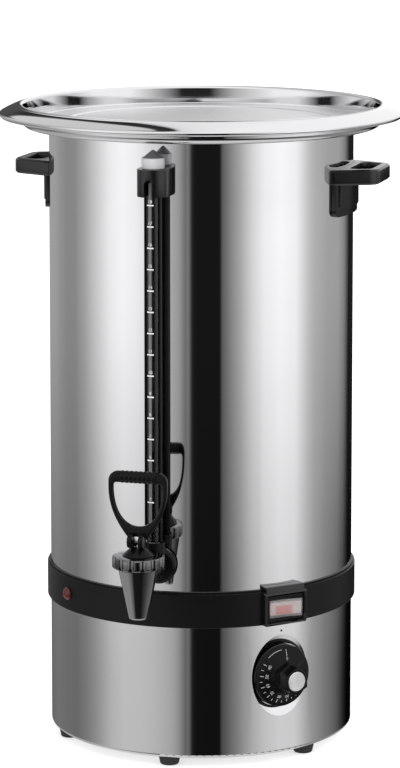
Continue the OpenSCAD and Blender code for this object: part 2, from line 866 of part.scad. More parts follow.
// A ring of rubber that follows the curve of the wall
module shank_gasket() {
  color("dimgray") difference() {
    on_wall(0, shank_z) translate([0, 0, body_r - flange_t])
      ring(flange_d / 2 - 1, shank_r + slip_gap, flange_t + gasket_t - slip_gap);
    body_cylinder(body_r + slip_gap);
  }
}

module shank_inner_gasket() {
  color("dimgray") intersection() {
    on_wall(0, shank_z) translate([0, 0, shank_nut_face]) ring(shank_seat_r, shank_r + slip_gap, far);
    body_cylinder(inner_r - slip_gap);
  }
}

module shank_nut() {
  h = 7;
  color("silver") on_wall(0, shank_z) translate([0, 0, shank_nut_face - h - slip_gap])
    hex_nut(2 * shank_seat_r, shank_r + shaft_gap, h);
}

// The cone of the tap, its valve chamber and the socket that the shank plugs into
module tap_body() {
  lip = 1.2;
  color("gainsboro") difference() {
    union() {
      at_tap() rotate_extrude() polygon([
        [0, spout_z], [spout_tip_d / 2 - lip / 2, spout_z], [spout_tip_d / 2, spout_z + lip],
        [tap_top_d / 2, tap_top_z - lip], [tap_top_d / 2 - lip / 2, tap_top_z], [tap_neck_r, tap_top_z],
        [tap_neck_r, tap_top_z + tap_neck_h], [0, tap_top_z + tap_neck_h]
      ]);
      on_wall(0, shank_z) translate([0, 0, tap_r - tap_socket_out])
        cylinder(r = tap_socket_r, h = tap_socket_out);
    }
    at_tap() {
      translate([0, 0, spout_z - over]) cylinder(r = seat_r, h = seat_z - spout_z + 2 * over);
      translate([0, 0, seat_z]) cylinder(r1 = seat_r, r2 = chamber_r, h = seat_h);
      translate([0, 0, seat_z + seat_h]) cylinder(r = chamber_r, h = far);
    }
    on_wall(0, shank_z) {
      cylinder(d = shank_bore_d, h = tap_r);
      cylinder(r = spigot_r + shaft_gap, h = tap_r - tap_socket_out + spigot_h + slip_gap);
    }
  }
}

module tap_collar() {
  scallop_r = PI * collar_d / collar_lobes * 0.3;
  lip_r = bonnet_dome_r + slip_gap;
  edge = 1;
  color("gainsboro") at_tap() difference() {
    rotate_extrude() polygon([
      [lip_r, collar_z], [collar_d / 2 - edge, collar_z], [collar_d / 2, collar_z + edge],
      [collar_d / 2, collar_top_z - edge], [collar_d / 2 - edge, collar_top_z], [lip_r, collar_top_z]
    ]);
    translate([0, 0, collar_z - over])
      cylinder(r = tap_neck_r + slip_gap, h = collar_h - run_gap - collar_lip_h + over);
    for (i = [0 : collar_lobes - 1]) {
      rotate([0, 0, 360 * (i + 0.5) / collar_lobes])
        translate([collar_d / 2 + scallop_r * 0.45, 0, collar_z - over])
          cylinder(r = scallop_r, h = collar_h + 2 * over, $fn = 32);
    }
  }
}

// The dome that closes the tap and guides its stem
module bonnet() {
  sleeve_r = chamber_r - slip_gap;
  sleeve_h = 4;
  waist = [bonnet_top_d / 2 + 1.6, collar_top_z + bonnet_rise * 0.7];
  color("#111113") at_tap() rotate_extrude() polygon([
    [pocket_r, bonnet_flange_z - sleeve_h], [sleeve_r, bonnet_flange_z - sleeve_h],
    [sleeve_r, bonnet_flange_z],
    [tap_neck_r - slip_gap, bonnet_flange_z], [tap_neck_r - slip_gap, bonnet_flange_z + bonnet_flange_h],
    [bonnet_dome_r, bonnet_flange_z + bonnet_flange_h], [bonnet_dome_r, collar_top_z + 0.6],
    waist, [bonnet_top_d / 2, bonnet_top_z - 0.8], [bonnet_top_d / 2 - 0.8, bonnet_top_z],
    [stem_r + shaft_gap, bonnet_top_z], [stem_r + shaft_gap, pocket_top_z], [pocket_r, pocket_top_z]
  ]);
}

module stem() {
  color("silver") at_tap() difference() {
    union() {
      translate([0, 0, stem_end_z]) cylinder(r = stem_r, h = pivot_z - stem_end_z);
      translate([0, 0, stem_collar_z]) cylinder(r = spring_r + spring_wire / 2, h = stem_collar_h);
      translate([-eye_t / 2, 0, pivot_z]) rotate([0, 90, 0]) cylinder(r = eye_r, h = eye_t);
    }
    translate([-eye_t, 0, pivot_z]) rotate([0, 90, 0]) cylinder(r = pin_r + shaft_gap, h = 2 * eye_t);
  }
}

// The soft cone that closes the seat
module seat_cup() {
  slope = seat_h / (chamber_r - seat_r);
  lift = run_gap / cos(atan(slope));
  tip_r = seat_r - 0.8;
  rim_r = chamber_r - 0.8;
  tip_z = seat_z + lift - 0.8 * slope;
  rim_cone_z = seat_z + lift + (rim_r - seat_r) * slope;
  color("white") at_tap() difference() {
    rotate_extrude() polygon([
      [0, tip_z], [tip_r, tip_z], [rim_r, rim_cone_z], [rim_r, rim_cone_z + 1.5],
      [stem_r + 3, stem_collar_z - slip_gap], [0, stem_collar_z - slip_gap]
    ]);
    translate([0, 0, stem_end_z - slip_gap]) cylinder(r = stem_r + shaft_gap, h = far);
  }
}

// A round wire wound up from the stem's collar to the bonnet
module valve_spring() {
  rings = 12;
  sides = 8;
  count = spring_turns * rings;
  wire_r = spring_wire / 2;
  points = [
    for (i = [0 : count], j = [0 : sides - 1])
      let (a = 360 * i / rings, t = 360 * j / sides, r = spring_r + wire_r * cos(t))
        [r * cos(a), r * sin(a), spring_z + (spring_top_z - spring_z) * i / count + wire_r * sin(t)]
  ];
  skin = [
    for (i = [0 : count - 1], j = [0 : sides - 1])
      let (k = (j + 1) % sides, a = i * sides, b = (i + 1) * sides)
        each [[a + j, b + k, b + j], [a + j, a + k, b + k]]
  ];
  ends = [
    for (j = [1 : sides - 2])
      each [[0, j + 1, j], [count * sides, count * sides + j, count * sides + j + 1]]
  ];
  color("lightgray") at_tap() polyhedron(points, concat(skin, ends));
}

// A smooth curve between the first and the last of four points
function bend(p, steps) = [
  for (i = [0 : steps])
    let (t = i / steps, s = 1 - t)
      s * s * s * p[0] + 3 * s * s * t * p[1] + 3 * s * t * t * p[2] + t * t * t * p[3]
];
function left(points) = [for (i = [len(points) - 1 : -1 : 0]) [-points[i][0], points[i][1]]];

// Half of the D-shaped lever seen from the front, its outer edge and its opening, from the top down
function lever_side() =
  let (w = lever_w / 2, r = lever_corner_r)
  concat(
    arc([w - r, -r], r, 90, 0, 8),
    bend([
      [w, -0.23 * lever_h], [w, -0.56 * lever_h], [0.66 * w, -0.8 * lever_h], [fork_w / 2, -lever_h]
    ], 14)
  );
function opening_side() =
  let (w = lever_w / 2 - lever_arm, r = 3, low = -0.8 * lever_h)
  concat(
    arc([w - r, -lever_bar_d - r], r, 90, 0, 5),
    bend([[w, -0.23 * lever_h], [w, -0.53 * lever_h], [0.68 * w, low], [0, low]], 14)
  );

module lever_half_lines(points) {
  translate([0, lever_top_z]) polygon(concat(points, left(points)));
}

// The pulled lever: a ribbed bar, two sides that run together, and a fork with its heel on the bonnet
module lever() {
  slot = eye_t + 2 * run_gap;
  rib_w = 1.6;
  rib_span = lever_w - 2 * lever_corner_r - 4;
  color("#101012") at_tap() difference() {
    union() {
      difference() {
        rotate([90, 0, 0]) linear_extrude(lever_t, center = true) lever_half_lines(lever_side());
        translate([0, lever_t, 0]) rotate([90, 0, 0]) linear_extrude(2 * lever_t)
          lever_half_lines(opening_side());
      }
      translate([-fork_w / 2, 0, pivot_z]) rotate([90, 0, 90]) linear_extrude(fork_w) {
        circle(hub_r);
        translate([-heel_offset, 0]) circle(hub_r);
        translate([-heel_offset, -hub_r]) square([heel_offset, 2 * hub_r]);
      }
      translate([-rib_span / 2 - rib_w, 0, lever_top_z - lever_bar_r]) rotate([0, 90, 0])
        cylinder(r = lever_bar_r, h = rib_span + 2 * rib_w);
      for (i = [0 : lever_ribs - 1]) {
        translate([-rib_span / 2 + (rib_span - rib_w) * i / (lever_ribs - 1), 0, lever_top_z - lever_bar_r])
          rotate([0, 90, 0]) cylinder(r = lever_bar_r + 0.6, h = rib_w);
      }
    }
    translate([-slot / 2, -far / 2, pivot_z - 2 * hub_r]) cube([slot, far, 2 * hub_r + eye_r + 0.8]);
    translate([-fork_w, 0, pivot_z]) rotate([0, 90, 0]) cylinder(r = pin_r + shaft_gap, h = 2 * fork_w);
  }
}

module lever_pin() {
  color("silver") at_tap() translate([-fork_w / 2 - 0.3, 0, pivot_z]) rotate([0, 90, 0])
    cylinder(r = pin_r, h = fork_w + 0.6);
}

// The frame on the band: a box with a sloped mouth and a lip hooked over the band's upper edge
module switch_frame() {
  w = switch_frame_w / 2;
  h = switch_frame_h / 2;
  mouth_w = switch_w / 2 + slip_gap;
  mouth_h = switch_h / 2 + slip_gap;
  flare = 1.8;
  flare_h = 3;
  edge = 1.2;
  slice = 0.01;
  lip_z = band_top_z + slip_gap - switch_z;
  lip_top = lip_z + 2.4;
  lip_out = band_r + 3.5;
  color("#1b1b1d") difference() {
    on_wall(control_angle, switch_z) {
      hull() {
        translate([0, 0, body_r - 8]) linear_extrude(switch_face - edge - body_r + 8)
          round_rect([-w, -h], [w, h], 1.5);
        translate([0, 0, switch_face - slice]) linear_extrude(slice)
          round_rect([-w + edge, -h + edge], [w - edge, h - edge], 1.5);
      }
      translate([-w + 2, 0, body_r - 8]) cube([2 * w - 4, lip_top, lip_out - body_r + 8]);
    }
    cylinder(r = band_r + slip_gap, h = band_top_z + slip_gap, $fn = 360);
    body_cylinder(body_r + slip_gap);
    on_wall(control_angle, switch_z) {
      translate([0, 0, body_r - 10]) linear_extrude(far) square([2 * mouth_w, 2 * mouth_h], center = true);
      hull() {
        translate([0, 0, switch_face - flare_h]) linear_extrude(slice)
          square([2 * mouth_w, 2 * mouth_h], center = true);
        translate([0, 0, switch_face]) linear_extrude(slice)
          square([2 * (mouth_w + flare), 2 * (mouth_h + flare)], center = true);
      }
    }
  }
}

module switch_body() {
  tab = [0.8, 6.3, terminal_l];
  cavity = [rocker_len + 3.6, rocker_h + 2 * run_gap];
  color("black") on_wall(control_angle, switch_z) difference() {
    union() {
      translate([-switch_w / 2, -switch_h / 2, switch_back])
        cube([switch_w, switch_h, switch_front - switch_back]);
      for (x = [-1, 1], y = [-1, 1]) {
        translate([x * switch_w / 4 - tab[0] / 2, y * switch_h / 4 - tab[1] / 2, switch_back - tab[2]])
          cube([tab[0], tab[1], tab[2] + over]);
      }
    }
    translate([-cavity[0] / 2, -cavity[1] / 2, rocker_pivot - rocker_well])
      cube([cavity[0], cavity[1], far]);
    translate([0, 0, rocker_pivot]) rotate([90, 0, 0])
      cylinder(r = rocker_pin_r + shaft_gap, h = switch_h - 2, center = true);
  }
}

// Side view of the rocker, a shallow V on a tapered keel
function rocker_profile(grow) = [
  [-rocker_len / 2 - grow, 0.8], [-rocker_len / 4, -4], [rocker_len / 4, -4], [rocker_len / 2 + grow, 0.8],
  [rocker_len / 2 + grow, 4.6 + grow], [0, 3.2 + grow], [-rocker_len / 2 - grow, 4.6 + grow]
];

// The rocker's frame at rest, its right end out
module at_rocker() {
  on_wall(control_angle, switch_z) translate([0, 0, rocker_pivot]) rotate([0, -rocker_tilt, 0]) children();
}

module rocker() {
  color("red") at_rocker() {
    along_y(rocker_h) polygon(rocker_profile(0));
    rotate([90, 0, 0]) cylinder(r = rocker_pin_r, h = switch_h - 2.4, center = true);
  }
}

// A clear cap over the rocker, moulded to it
module rocker_cap() {
  wall = 0.8;
  color("mistyrose", 0.5) at_rocker() difference() {
    along_y(rocker_h) polygon(rocker_profile(slip_gap / 2 + wall));
    along_y(rocker_h + over) polygon(rocker_profile(slip_gap / 2));
    translate([-far / 2, -far / 2, 1.2 - far]) cube(far);
  }
}

module pilot_lamp() {
  seat = band_r + slip_gap;
  r = lamp_d / 2;
  dome_r = (r * r + pow(lamp_rise - 1, 2)) / 2 / (lamp_rise - 1);
  dome_a = asin(r / dome_r);
  color("firebrick") on_wall(lamp_angle, lamp_z) rotate_extrude() polygon(concat(
    [[0, body_r - 14], [lamp_stem_r, body_r - 14], [lamp_stem_r, seat], [r, seat]],
    arc([0, seat + lamp_rise - dome_r], dome_r, 90 - dome_a, 90, 8)
  ));
}

module lamp_holder() {
  h = 4.5;
  color("white") on_wall(lamp_angle, lamp_z) {
    translate([0, 0, lamp_seat - h]) hex_nut(2 * lamp_stem_r + 6, lamp_stem_r + shaft_gap, h);
  }
}

module knob() {
  edge = 0.8;
  wall_top = dial_back + dial_wall_h;
  face_top = wall_top + dial_rise;
  draft = 3;
  apothem = knob_grip_r * cos(30);
  recess_r = bush_r + 6;
  color("#121214") on_wall(control_angle, knob_z) difference() {
    union() {
      rotate_extrude() polygon(concat(
        [[0, dial_back], [dial_r - 0.6, dial_back], [dial_r, dial_back + 0.6]],
        arc([dial_r - edge, wall_top - edge], edge, 0, 90, 6),
        [[dial_r - edge - 1.5, wall_top], [knob_grip_r + 1, face_top], [0, face_top]]
      ));
      difference() {
        translate([0, 0, wall_top]) cylinder(r = knob_grip_r + 4, h = knob_front - wall_top);
        for (i = [0 : 5]) {
          rotate([0, 0, 60 * i]) translate([apothem, 0, knob_front]) rotate([0, -draft, 0])
            translate([0, -dial_r, -knob_h]) cube([dial_r, dial_d, 2 * knob_h]);
        }
      }
    }
    translate([0, 0, dial_back - over]) cylinder(r = recess_r, h = over + bush_nut_h + 1.6);
    translate([0, 0, dial_back - over])
      cylinder(r = spindle_r + shaft_gap, h = over + knob_h - knob_cap_t - 3);
    translate([0, 0, knob_front - knob_cap_t])
      cylinder(r = knob_cap_d / 2 + shaft_gap, h = knob_cap_t + over);
  }
}

module knob_cap() {
  edge = 0.5;
  r = knob_cap_d / 2;
  top = knob_cap_t + 0.3;
  color("silver") on_wall(control_angle, knob_z) translate([0, 0, knob_front - knob_cap_t]) rotate_extrude()
    polygon([[0, 0], [r, 0], [r, top - edge], [r - edge, top], [0, top]]);
}

module thermostat_spindle() {
  back = thermostat_front - 8;
  color("silver") on_wall(control_angle, knob_z) translate([0, 0, back])
    cylinder(r = spindle_r, h = dial_back + knob_h - knob_cap_t - 4 - back);
}

module thermostat_nut() {
  color("silver") on_wall(control_angle, knob_z) translate([0, 0, pad_front + slip_gap])
    hex_nut(2 * bush_r + 4, bush_r + shaft_gap, bush_nut_h);
}

module thermostat_body() {
  side = thermostat_side;
  color("ivory") on_wall(control_angle, knob_z) difference() {
    union() {
      translate([-side / 2, -side / 2, thermostat_front - thermostat_depth])
        cube([side, side, thermostat_depth]);
      cylinder_between(bush_r + 3, thermostat_front - over, pad_back - slip_gap);
      cylinder_between(bush_r, thermostat_front - over, pad_front + slip_gap + bush_nut_h);
    }
    cylinder_between(spindle_r + shaft_gap, thermostat_front - 9, body_r + 20);
  }
}

module cylinder_between(r, from, to) {
  translate([0, 0, from]) cylinder(r = r, h = to - from);
}

// The sensor under the floor, and its thin tube down behind the switch to the thermostat
module sensor_bulb() {
  tube_r = 1;
  bend = 6;
  back = thermostat_front - thermostat_depth;
  down = back - bend - 3;
  drop = bulb_z - knob_z - thermostat_side / 4;
  color("tan") on_wall(control_angle, bulb_z) {
    cylinder_between(bulb_d / 2, bulb_start, bulb_end);
    cylinder_between(tube_r, bulb_end - 1, down - bend);
    translate([0, -bend, down - bend]) rotate([0, -90, 0]) rotate_extrude(angle = 90) translate([bend, 0])
      circle(tube_r);
    translate([0, -bend, down]) rotate([90, 0, 0]) cylinder(r = tube_r, h = drop - 2 * bend);
    translate([0, bend - drop, down + bend]) rotate([180, 90, 0])
      rotate_extrude(angle = 90) translate([bend, 0])
      circle(tube_r);
    translate([0, -drop, 0]) cylinder_between(tube_r, down + bend, back - slip_gap);
  }
}

module heat_spreader() {
  color("lightsteelblue") translate([0, 0, spreader_z]) cylinder(r = spreader_r, h = spreader_t);
}

// An open ring of heating tube with two cold legs that stand down from its ends
module heater_ring() {
  start = control_angle - 90 + heater_gap_angle / 2;
  leg_angle = 5;
  leg_r = heater_tube_d / 2 - 0.5;
  leg_h = 16;
  pin_h = 8;
  color("dimgray") translate([0, 0, heater_z]) {
    rotate([0, 0, start]) rotate_extrude(angle = 360 - heater_gap_angle) translate([heater_r, 0])
      circle(d = heater_tube_d, $fn = 32);
    for (a = [start + leg_angle, start - heater_gap_angle - leg_angle]) {
      rotate([0, 0, a]) translate([heater_r, 0, -leg_h]) {
        cylinder(r = leg_r, h = leg_h, $fn = 32);
        translate([0, 0, -pin_h]) cylinder(d = 3, h = pin_h + over, $fn = 32);
      }
    }
  }
}

module thermal_cutout() {
  can_r = cutout_d / 2 - 3;
  can_h = 8;
  tab = [6.3, 0.8, 8];
  color("black") translate([0, 0, spreader_z]) {
    translate([0, 0, -1]) cylinder(d = cutout_d, h = 1);
    translate([0, 0, -can_h]) cylinder(r = can_r, h = can_h);
    for (y = [-1, 1]) {
      translate([-tab[0] / 2, y * can_r / 2 - tab[1] / 2, -can_h - tab[2]])
        cube([tab[0], tab[1], tab[2] + 1]);
    }
  }
}

module terminal_block() {
  size = [44, 20, 18];
  pole = 12;
  screw_d = 4.4;
  color("ivory") translate([0, body_r - terminal_inset, base_plate_z + sheet_t]) difference() {
    translate([-size[0] / 2, -size[1] / 2, 0]) cube(size);
    for (i = [-1 : 1]) {
      translate([i * pole, 0, size[2] - 6]) cylinder(d = 6, h = 6 + over);
      translate([i * pole, -size[1], size[2] / 3]) rotate([-90, 0, 0])
        cylinder(d = screw_d, h = 2 * size[1]);
    }
  }
}

module cord_gland() {
  flange_r = gland_r + 5;
  flange_back = body_r + slip_gap;
  nose = 13;
  inside = 16;
  color("black") difference() {
    on_wall(180, gland_z) rotate_extrude() polygon([
      [0, inner_r - inside], [gland_r, inner_r - inside], [gland_r, flange_back], [flange_r, flange_back],
      [flange_r, flange_back + 3], [gland_r + 2.5, flange_back + 3], [gland_r + 2.5, body_r + nose * 0.6],
      [gland_r - 0.5, body_r + nose], [0, body_r + nose]
    ]);
    on_wall(180, gland_z) cylinder(d = cord_hole_d, h = far);
  }
}

module gland_nut() {
  h = 5;
  flat = sqrt(pow(inner_r, 2) - pow(gland_r + 5, 2)) - slip_gap;
  color("black") on_wall(180, gland_z) translate([0, 0, flat - h])
    hex_nut(2 * gland_r + 7, gland_r + shaft_gap, h);
}

vessel();
base_shell();
base_plate();
feet();
foot_screws();
foot_nuts();
band();
tray();
handle_left();
handle_right();
handle_screws();
gauge_tube();
gauge_guard();
gauge_bracket();
gauge_cap();
gauge_lower_seal();
gauge_upper_seal();
bracket_screws();
tap_shank();
shank_gasket();
shank_inner_gasket();
shank_nut();
tap_body();
tap_collar();
bonnet();
stem();
seat_cup();
valve_spring();
lever();
lever_pin();
switch_frame();
switch_body();
rocker();
rocker_cap();
pilot_lamp();
lamp_holder();
knob();
knob_cap();
thermostat_spindle();
thermostat_nut();
thermostat_body();
sensor_bulb();
heat_spreader();
heater_ring();
thermal_cutout();
terminal_block();
cord_gland();
gland_nut();
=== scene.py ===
"""Looks of a steel hot drink dispenser: finishes, turned skins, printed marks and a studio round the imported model."""

import json
import math

import bpy
from mathutils import Matrix, Vector


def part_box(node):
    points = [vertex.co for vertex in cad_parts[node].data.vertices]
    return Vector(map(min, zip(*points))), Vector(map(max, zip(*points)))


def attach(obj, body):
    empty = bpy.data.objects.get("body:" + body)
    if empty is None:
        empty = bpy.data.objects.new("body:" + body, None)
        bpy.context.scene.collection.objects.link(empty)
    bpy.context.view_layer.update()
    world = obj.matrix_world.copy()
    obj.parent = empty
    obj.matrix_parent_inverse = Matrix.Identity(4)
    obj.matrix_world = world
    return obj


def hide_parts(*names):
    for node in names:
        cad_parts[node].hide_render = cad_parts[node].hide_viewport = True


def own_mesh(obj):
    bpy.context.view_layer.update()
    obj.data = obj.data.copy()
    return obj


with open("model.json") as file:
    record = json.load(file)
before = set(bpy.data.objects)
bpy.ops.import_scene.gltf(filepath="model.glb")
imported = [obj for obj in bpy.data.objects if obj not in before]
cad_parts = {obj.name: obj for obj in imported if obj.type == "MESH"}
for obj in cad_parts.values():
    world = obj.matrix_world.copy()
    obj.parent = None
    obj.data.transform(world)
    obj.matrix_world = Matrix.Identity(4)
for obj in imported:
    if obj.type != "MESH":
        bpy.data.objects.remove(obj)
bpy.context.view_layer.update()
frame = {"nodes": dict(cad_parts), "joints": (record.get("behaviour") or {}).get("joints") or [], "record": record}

bl_info = {
    "name": "Hot drink dispenser looks",
    "version": (1, 0, 0),
    "blender": (4, 5, 0),
    "location": "View3D > Sidebar > Urn",
    "description": "Finishes, prints and studio of a steel hot drink dispenser",
    "category": "Object",
}

MM = 0.001
UP = Vector((0, 0, 1))


# Sizes read from the frame


def box_mm(node):
    """Lowest and highest corner of a CAD piece in millimetres."""
    low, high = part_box(node)
    return low / MM, high / MM


BODY_R = -box_mm("base_shell")[0].x
TRAY_R = box_mm("tray")[1].x
TRAY_TOP = box_mm("tray")[1].z
GAUGE_Y = sum(c.y for c in box_mm("gauge_tube")) / 2
GAUGE_R = (box_mm("gauge_tube")[1].x - box_mm("gauge_tube")[0].x) / 2
GAUGE_CAP_TOP = box_mm("gauge_cap")[1].z
JOINTS = {j["name"]: j for j in frame["joints"]}
KNOB_PIVOT = Vector(JOINTS["knob_turn"]["pos_m"]) / MM
KNOB_OUT = -Vector(JOINTS["knob_turn"]["axis"])
KNOB_AZIMUTH = math.atan2(KNOB_OUT.x, -KNOB_OUT.y)


# Settings


class UrnStudio(bpy.types.PropertyGroup):
    """Camera, floor and light."""

    azimuth: bpy.props.FloatProperty(
        name="Azimuth", description="Turn of the camera from the tap", default=15.5
    )
    distance: bpy.props.FloatProperty(
        name="Distance", description="From the urn's axis to the camera", default=2.862, unit="LENGTH"
    )
    height: bpy.props.FloatProperty(
        name="Height", description="Camera above the floor", default=0.834, unit="LENGTH"
    )
    tilt: bpy.props.FloatProperty(name="Tilt", description="Camera's downward tilt in degrees", default=7.34)
    lens: bpy.props.FloatProperty(name="Lens", description="Focal length in millimetres", default=156.9)
    shift_x: bpy.props.FloatProperty(name="Shift X", description="Sideways shift of the lens", default=-0.0016)
    shift_y: bpy.props.FloatProperty(name="Shift Y", description="Upward shift of the lens", default=-0.24)
    floor_color: bpy.props.FloatVectorProperty(
        name="Floor", description="Colour of the floor", default=(0.92, 0.92, 0.92), subtype="COLOR"
    )


class UrnFinish(bpy.types.PropertyGroup):
    """Colours of the finishes."""

    steel: bpy.props.FloatVectorProperty(
        name="Steel", description="Polished steel", default=(0.77, 0.77, 0.78), subtype="COLOR"
    )
    chrome: bpy.props.FloatVectorProperty(
        name="Chrome", description="Plated tap and cap", default=(0.42, 0.42, 0.43), subtype="COLOR"
    )
    black: bpy.props.FloatVectorProperty(
        name="Black", description="Moulded black plastic", default=(0.005, 0.005, 0.0055), subtype="COLOR"
    )
    lamp_red: bpy.props.FloatVectorProperty(
        name="Lamp", description="Lens of the pilot lamp", default=(0.075, 0.009, 0.006), subtype="COLOR"
    )
    # Red of the rocker's painted glow in front of its lamp.
    rocker_pink: bpy.props.FloatVectorProperty(
        name="Rocker", description="Faded red rocker of the switch", default=(0.62, 0.15, 0.14), subtype="COLOR"
    )
    print_white: bpy.props.FloatVectorProperty(
        name="Print", description="Printed marks", default=(0.82, 0.82, 0.8), subtype="COLOR"
    )


class UrnPrint(bpy.types.PropertyGroup):
    """Printed marks on the gauge and the knob."""

    litre: bpy.props.FloatProperty(
        name="Litre", description="Distance of the marks on the gauge", default=0.0177, unit="LENGTH"
    )
    gauge_marks: bpy.props.IntProperty(name="Gauge marks", description="Number of litre marks", default=15)
    gauge_full: bpy.props.IntProperty(name="Full", description="Number at the highest mark", default=18)
    dial_low: bpy.props.IntProperty(name="Lowest", description="First number on the dial", default=40)
    dial_high: bpy.props.IntProperty(name="Highest", description="Last number on the dial", default=100)


# Tools for modelling


def clear_selection():
    """Object mode with nothing selected."""
    if bpy.context.object and bpy.context.object.mode != "OBJECT":
        bpy.ops.object.mode_set(mode="OBJECT")
    bpy.ops.object.select_all(action="DESELECT")


def activate(piece):
    """Make one object the only selected and active one."""
    clear_selection()
    piece.select_set(True)
    bpy.context.view_layer.objects.active = piece


def rename(piece, name):
    piece.name = name
    piece.data.name = name
    return piece


def settle(piece):
    """Put the object's place into its mesh."""
    activate(piece)
    bpy.ops.object.transform_apply(location=True, rotation=True, scale=True)
    return piece


def apply_modifier(piece, kind, **values):
    activate(piece)
    modifier = piece.modifiers.new(kind.title(), kind)
    for key, value in values.items():
        setattr(modifier, key, value)
    bpy.ops.object.modifier_apply(modifier=modifier.name)


def smooth(piece, angle=35):
    activate(piece)
    bpy.ops.object.shade_smooth_by_angle(angle=math.radians(angle))


def fillet(points, radii, steps=6):
    """An outline with its corners turned into arcs of the given radii."""
    outline = []
    for i, (point, radius) in enumerate(zip(points, radii)):
        here = Vector(point)
        if radius == 0 or i in (0, len(points) - 1):
            outline.append(here)
            continue
        back = (Vector(points[i - 1]) - here).normalized()
        ahead = (Vector(points[i + 1]) - here).normalized()
        half = back.angle(ahead) / 2
        reach = radius / math.tan(half)
        centre = here + (back + ahead).normalized() * radius / math.sin(half)
        start = here + back * reach - centre
        turn = start.angle_signed(here + ahead * reach - centre)
        for k in range(steps + 1):
            angle = turn * k / steps
            outline.append(centre + Vector((
                start.x * math.cos(angle) + start.y * math.sin(angle),
                start.y * math.cos(angle) - start.x * math.sin(angle),
            )))
    return outline


def sheet(points, radii, t, steps=6):
    """The closed outline of sheet metal along a path with rounded corners."""
    path = fillet(points, radii, steps)
    sides = []
    for i, here in enumerate(path):
        ahead = (path[min(i + 1, len(path) - 1)] - here).normalized()
        back = (here - path[max(i - 1, 0)]).normalized()
        along = (ahead + back).normalized()
        sides.append(Vector((-along.y, along.x)) * t / 2)
    upper = [p + s for p, s in zip(path, sides)]
    lower = [p - s for p, s in zip(path, sides)]
    return upper + lower[::-1]


def trace(points, closed=False):
    """Edges drawn through points in mm, from one vertex on, in edit mode."""
    points = [Vector(p) * MM for p in points]
    clear_selection()
    bpy.ops.mesh.primitive_plane_add(size=MM, location=points[0])
    piece = settle(bpy.context.object)
    bpy.ops.object.mode_set(mode="EDIT")
    bpy.ops.mesh.select_all(action="SELECT")
    bpy.ops.mesh.merge(type="CENTER")
    for here, there in zip(points, points[1:]):
        bpy.ops.mesh.extrude_region_move(TRANSFORM_OT_translate={"value": there - here})
    bpy.ops.object.mode_set(mode="OBJECT")
    if closed:
        for vertex in piece.data.vertices:
            vertex.select = vertex.index in (0, len(points) - 1)
        bpy.ops.object.mode_set(mode="EDIT")
        bpy.ops.mesh.edge_face_add()
        bpy.ops.object.mode_set(mode="OBJECT")
    return piece


def clean(piece, merge=0.004):
    """Join what touches and turn all faces outwards."""
    activate(piece)
    bpy.ops.object.mode_set(mode="EDIT")
    bpy.ops.mesh.select_all(action="SELECT")
    bpy.ops.mesh.remove_doubles(threshold=merge * MM)
    bpy.ops.mesh.normals_make_consistent(inside=False)
    bpy.ops.object.mode_set(mode="OBJECT")


def turned(name, outline, axis=(0, 0), steps=192, angle=math.tau):
    """A piece turned on a lathe: an outline of (radius, height) in mm spun round a vertical axis, from the front."""
    piece = trace([(axis[0], axis[1] - r, z) for r, z in outline])
    bpy.ops.object.mode_set(mode="EDIT")
    bpy.ops.mesh.select_all(action="SELECT")
    if angle < math.tau:
        bpy.ops.transform.rotate(value=-angle / 2, orient_axis="Z", center_override=(axis[0] * MM, axis[1] * MM, 0))
    bpy.ops.mesh.spin(
        steps=steps, angle=angle, center=(axis[0] * MM, axis[1] * MM, 0), axis=UP, use_auto_merge=angle == math.tau
    )
    clean(piece)
    smooth(piece)
    return rename(piece, name)


def slab(points, depth, hole=None, edge=0.0, segments=3):
    """A flat outline in mm pushed out by a vector, with an optional hole of as many points and rounded edges."""
    piece = trace(points, closed=True)
    if hole:
        inner = trace(hole, closed=True)
        activate(piece)
        inner.select_set(True)
        bpy.ops.object.join()
        bpy.ops.object.mode_set(mode="EDIT")
        bpy.ops.mesh.select_all(action="SELECT")
        bpy.ops.mesh.bridge_edge_loops()
    else:
        bpy.ops.object.mode_set(mode="EDIT")
        bpy.ops.mesh.select_all(action="SELECT")
        bpy.ops.mesh.edge_face_add()
    bpy.ops.mesh.select_all(action="SELECT")
    bpy.ops.mesh.extrude_region_move(TRANSFORM_OT_translate={"value": Vector(depth) * MM})
    clean(piece)
    if edge:
        soften(piece, edge, segments)
    return piece


def soften(piece, width, segments=3, angle=32):
    """Round the sharp edges."""
    apply_modifier(
        piece, "BEVEL", width=width * MM, segments=segments, limit_method="ANGLE", angle_limit=math.radians(angle),
        use_clamp_overlap=True, miter_outer="MITER_ARC",
    )
    smooth(piece, 40)


def joined(name, pieces):
    activate(pieces[0])
    for piece in pieces[1:]:
        piece.select_set(True)
    bpy.ops.object.join()
    return rename(pieces[0], name)


def wall_matrix(azimuth, radius, height):
    """A frame on the body's wall: Z out of it, Y up, X to the right seen from outside."""
    out = Vector((math.sin(azimuth), -math.cos(azimuth), 0))
    side = Vector((math.cos(azimuth), math.sin(azimuth), 0))
    turn = Matrix((side, UP, out)).transposed().to_4x4()
    return Matrix.Translation((out * radius + UP * height) * MM) @ turn


def lettering(body, size):
    """Flat lettering of a size in mm, centred and facing up."""
    clear_selection()
    bpy.ops.object.text_add()
    words = bpy.context.object
    words.data.body = body
    words.data.size = size * MM
    words.data.align_x = "CENTER"
    words.data.align_y = "CENTER"
    words.data.resolution_u = 3
    bpy.ops.object.convert(target="MESH")
    return bpy.context.object


def dash(width, height):
    """A flat printed dash in mm, centred and facing up."""
    clear_selection()
    bpy.ops.mesh.primitive_plane_add(size=1)
    piece = bpy.context.object
    piece.scale = (width * MM, height * MM, 1)
    bpy.ops.object.transform_apply(location=False, rotation=False, scale=True)
    return piece


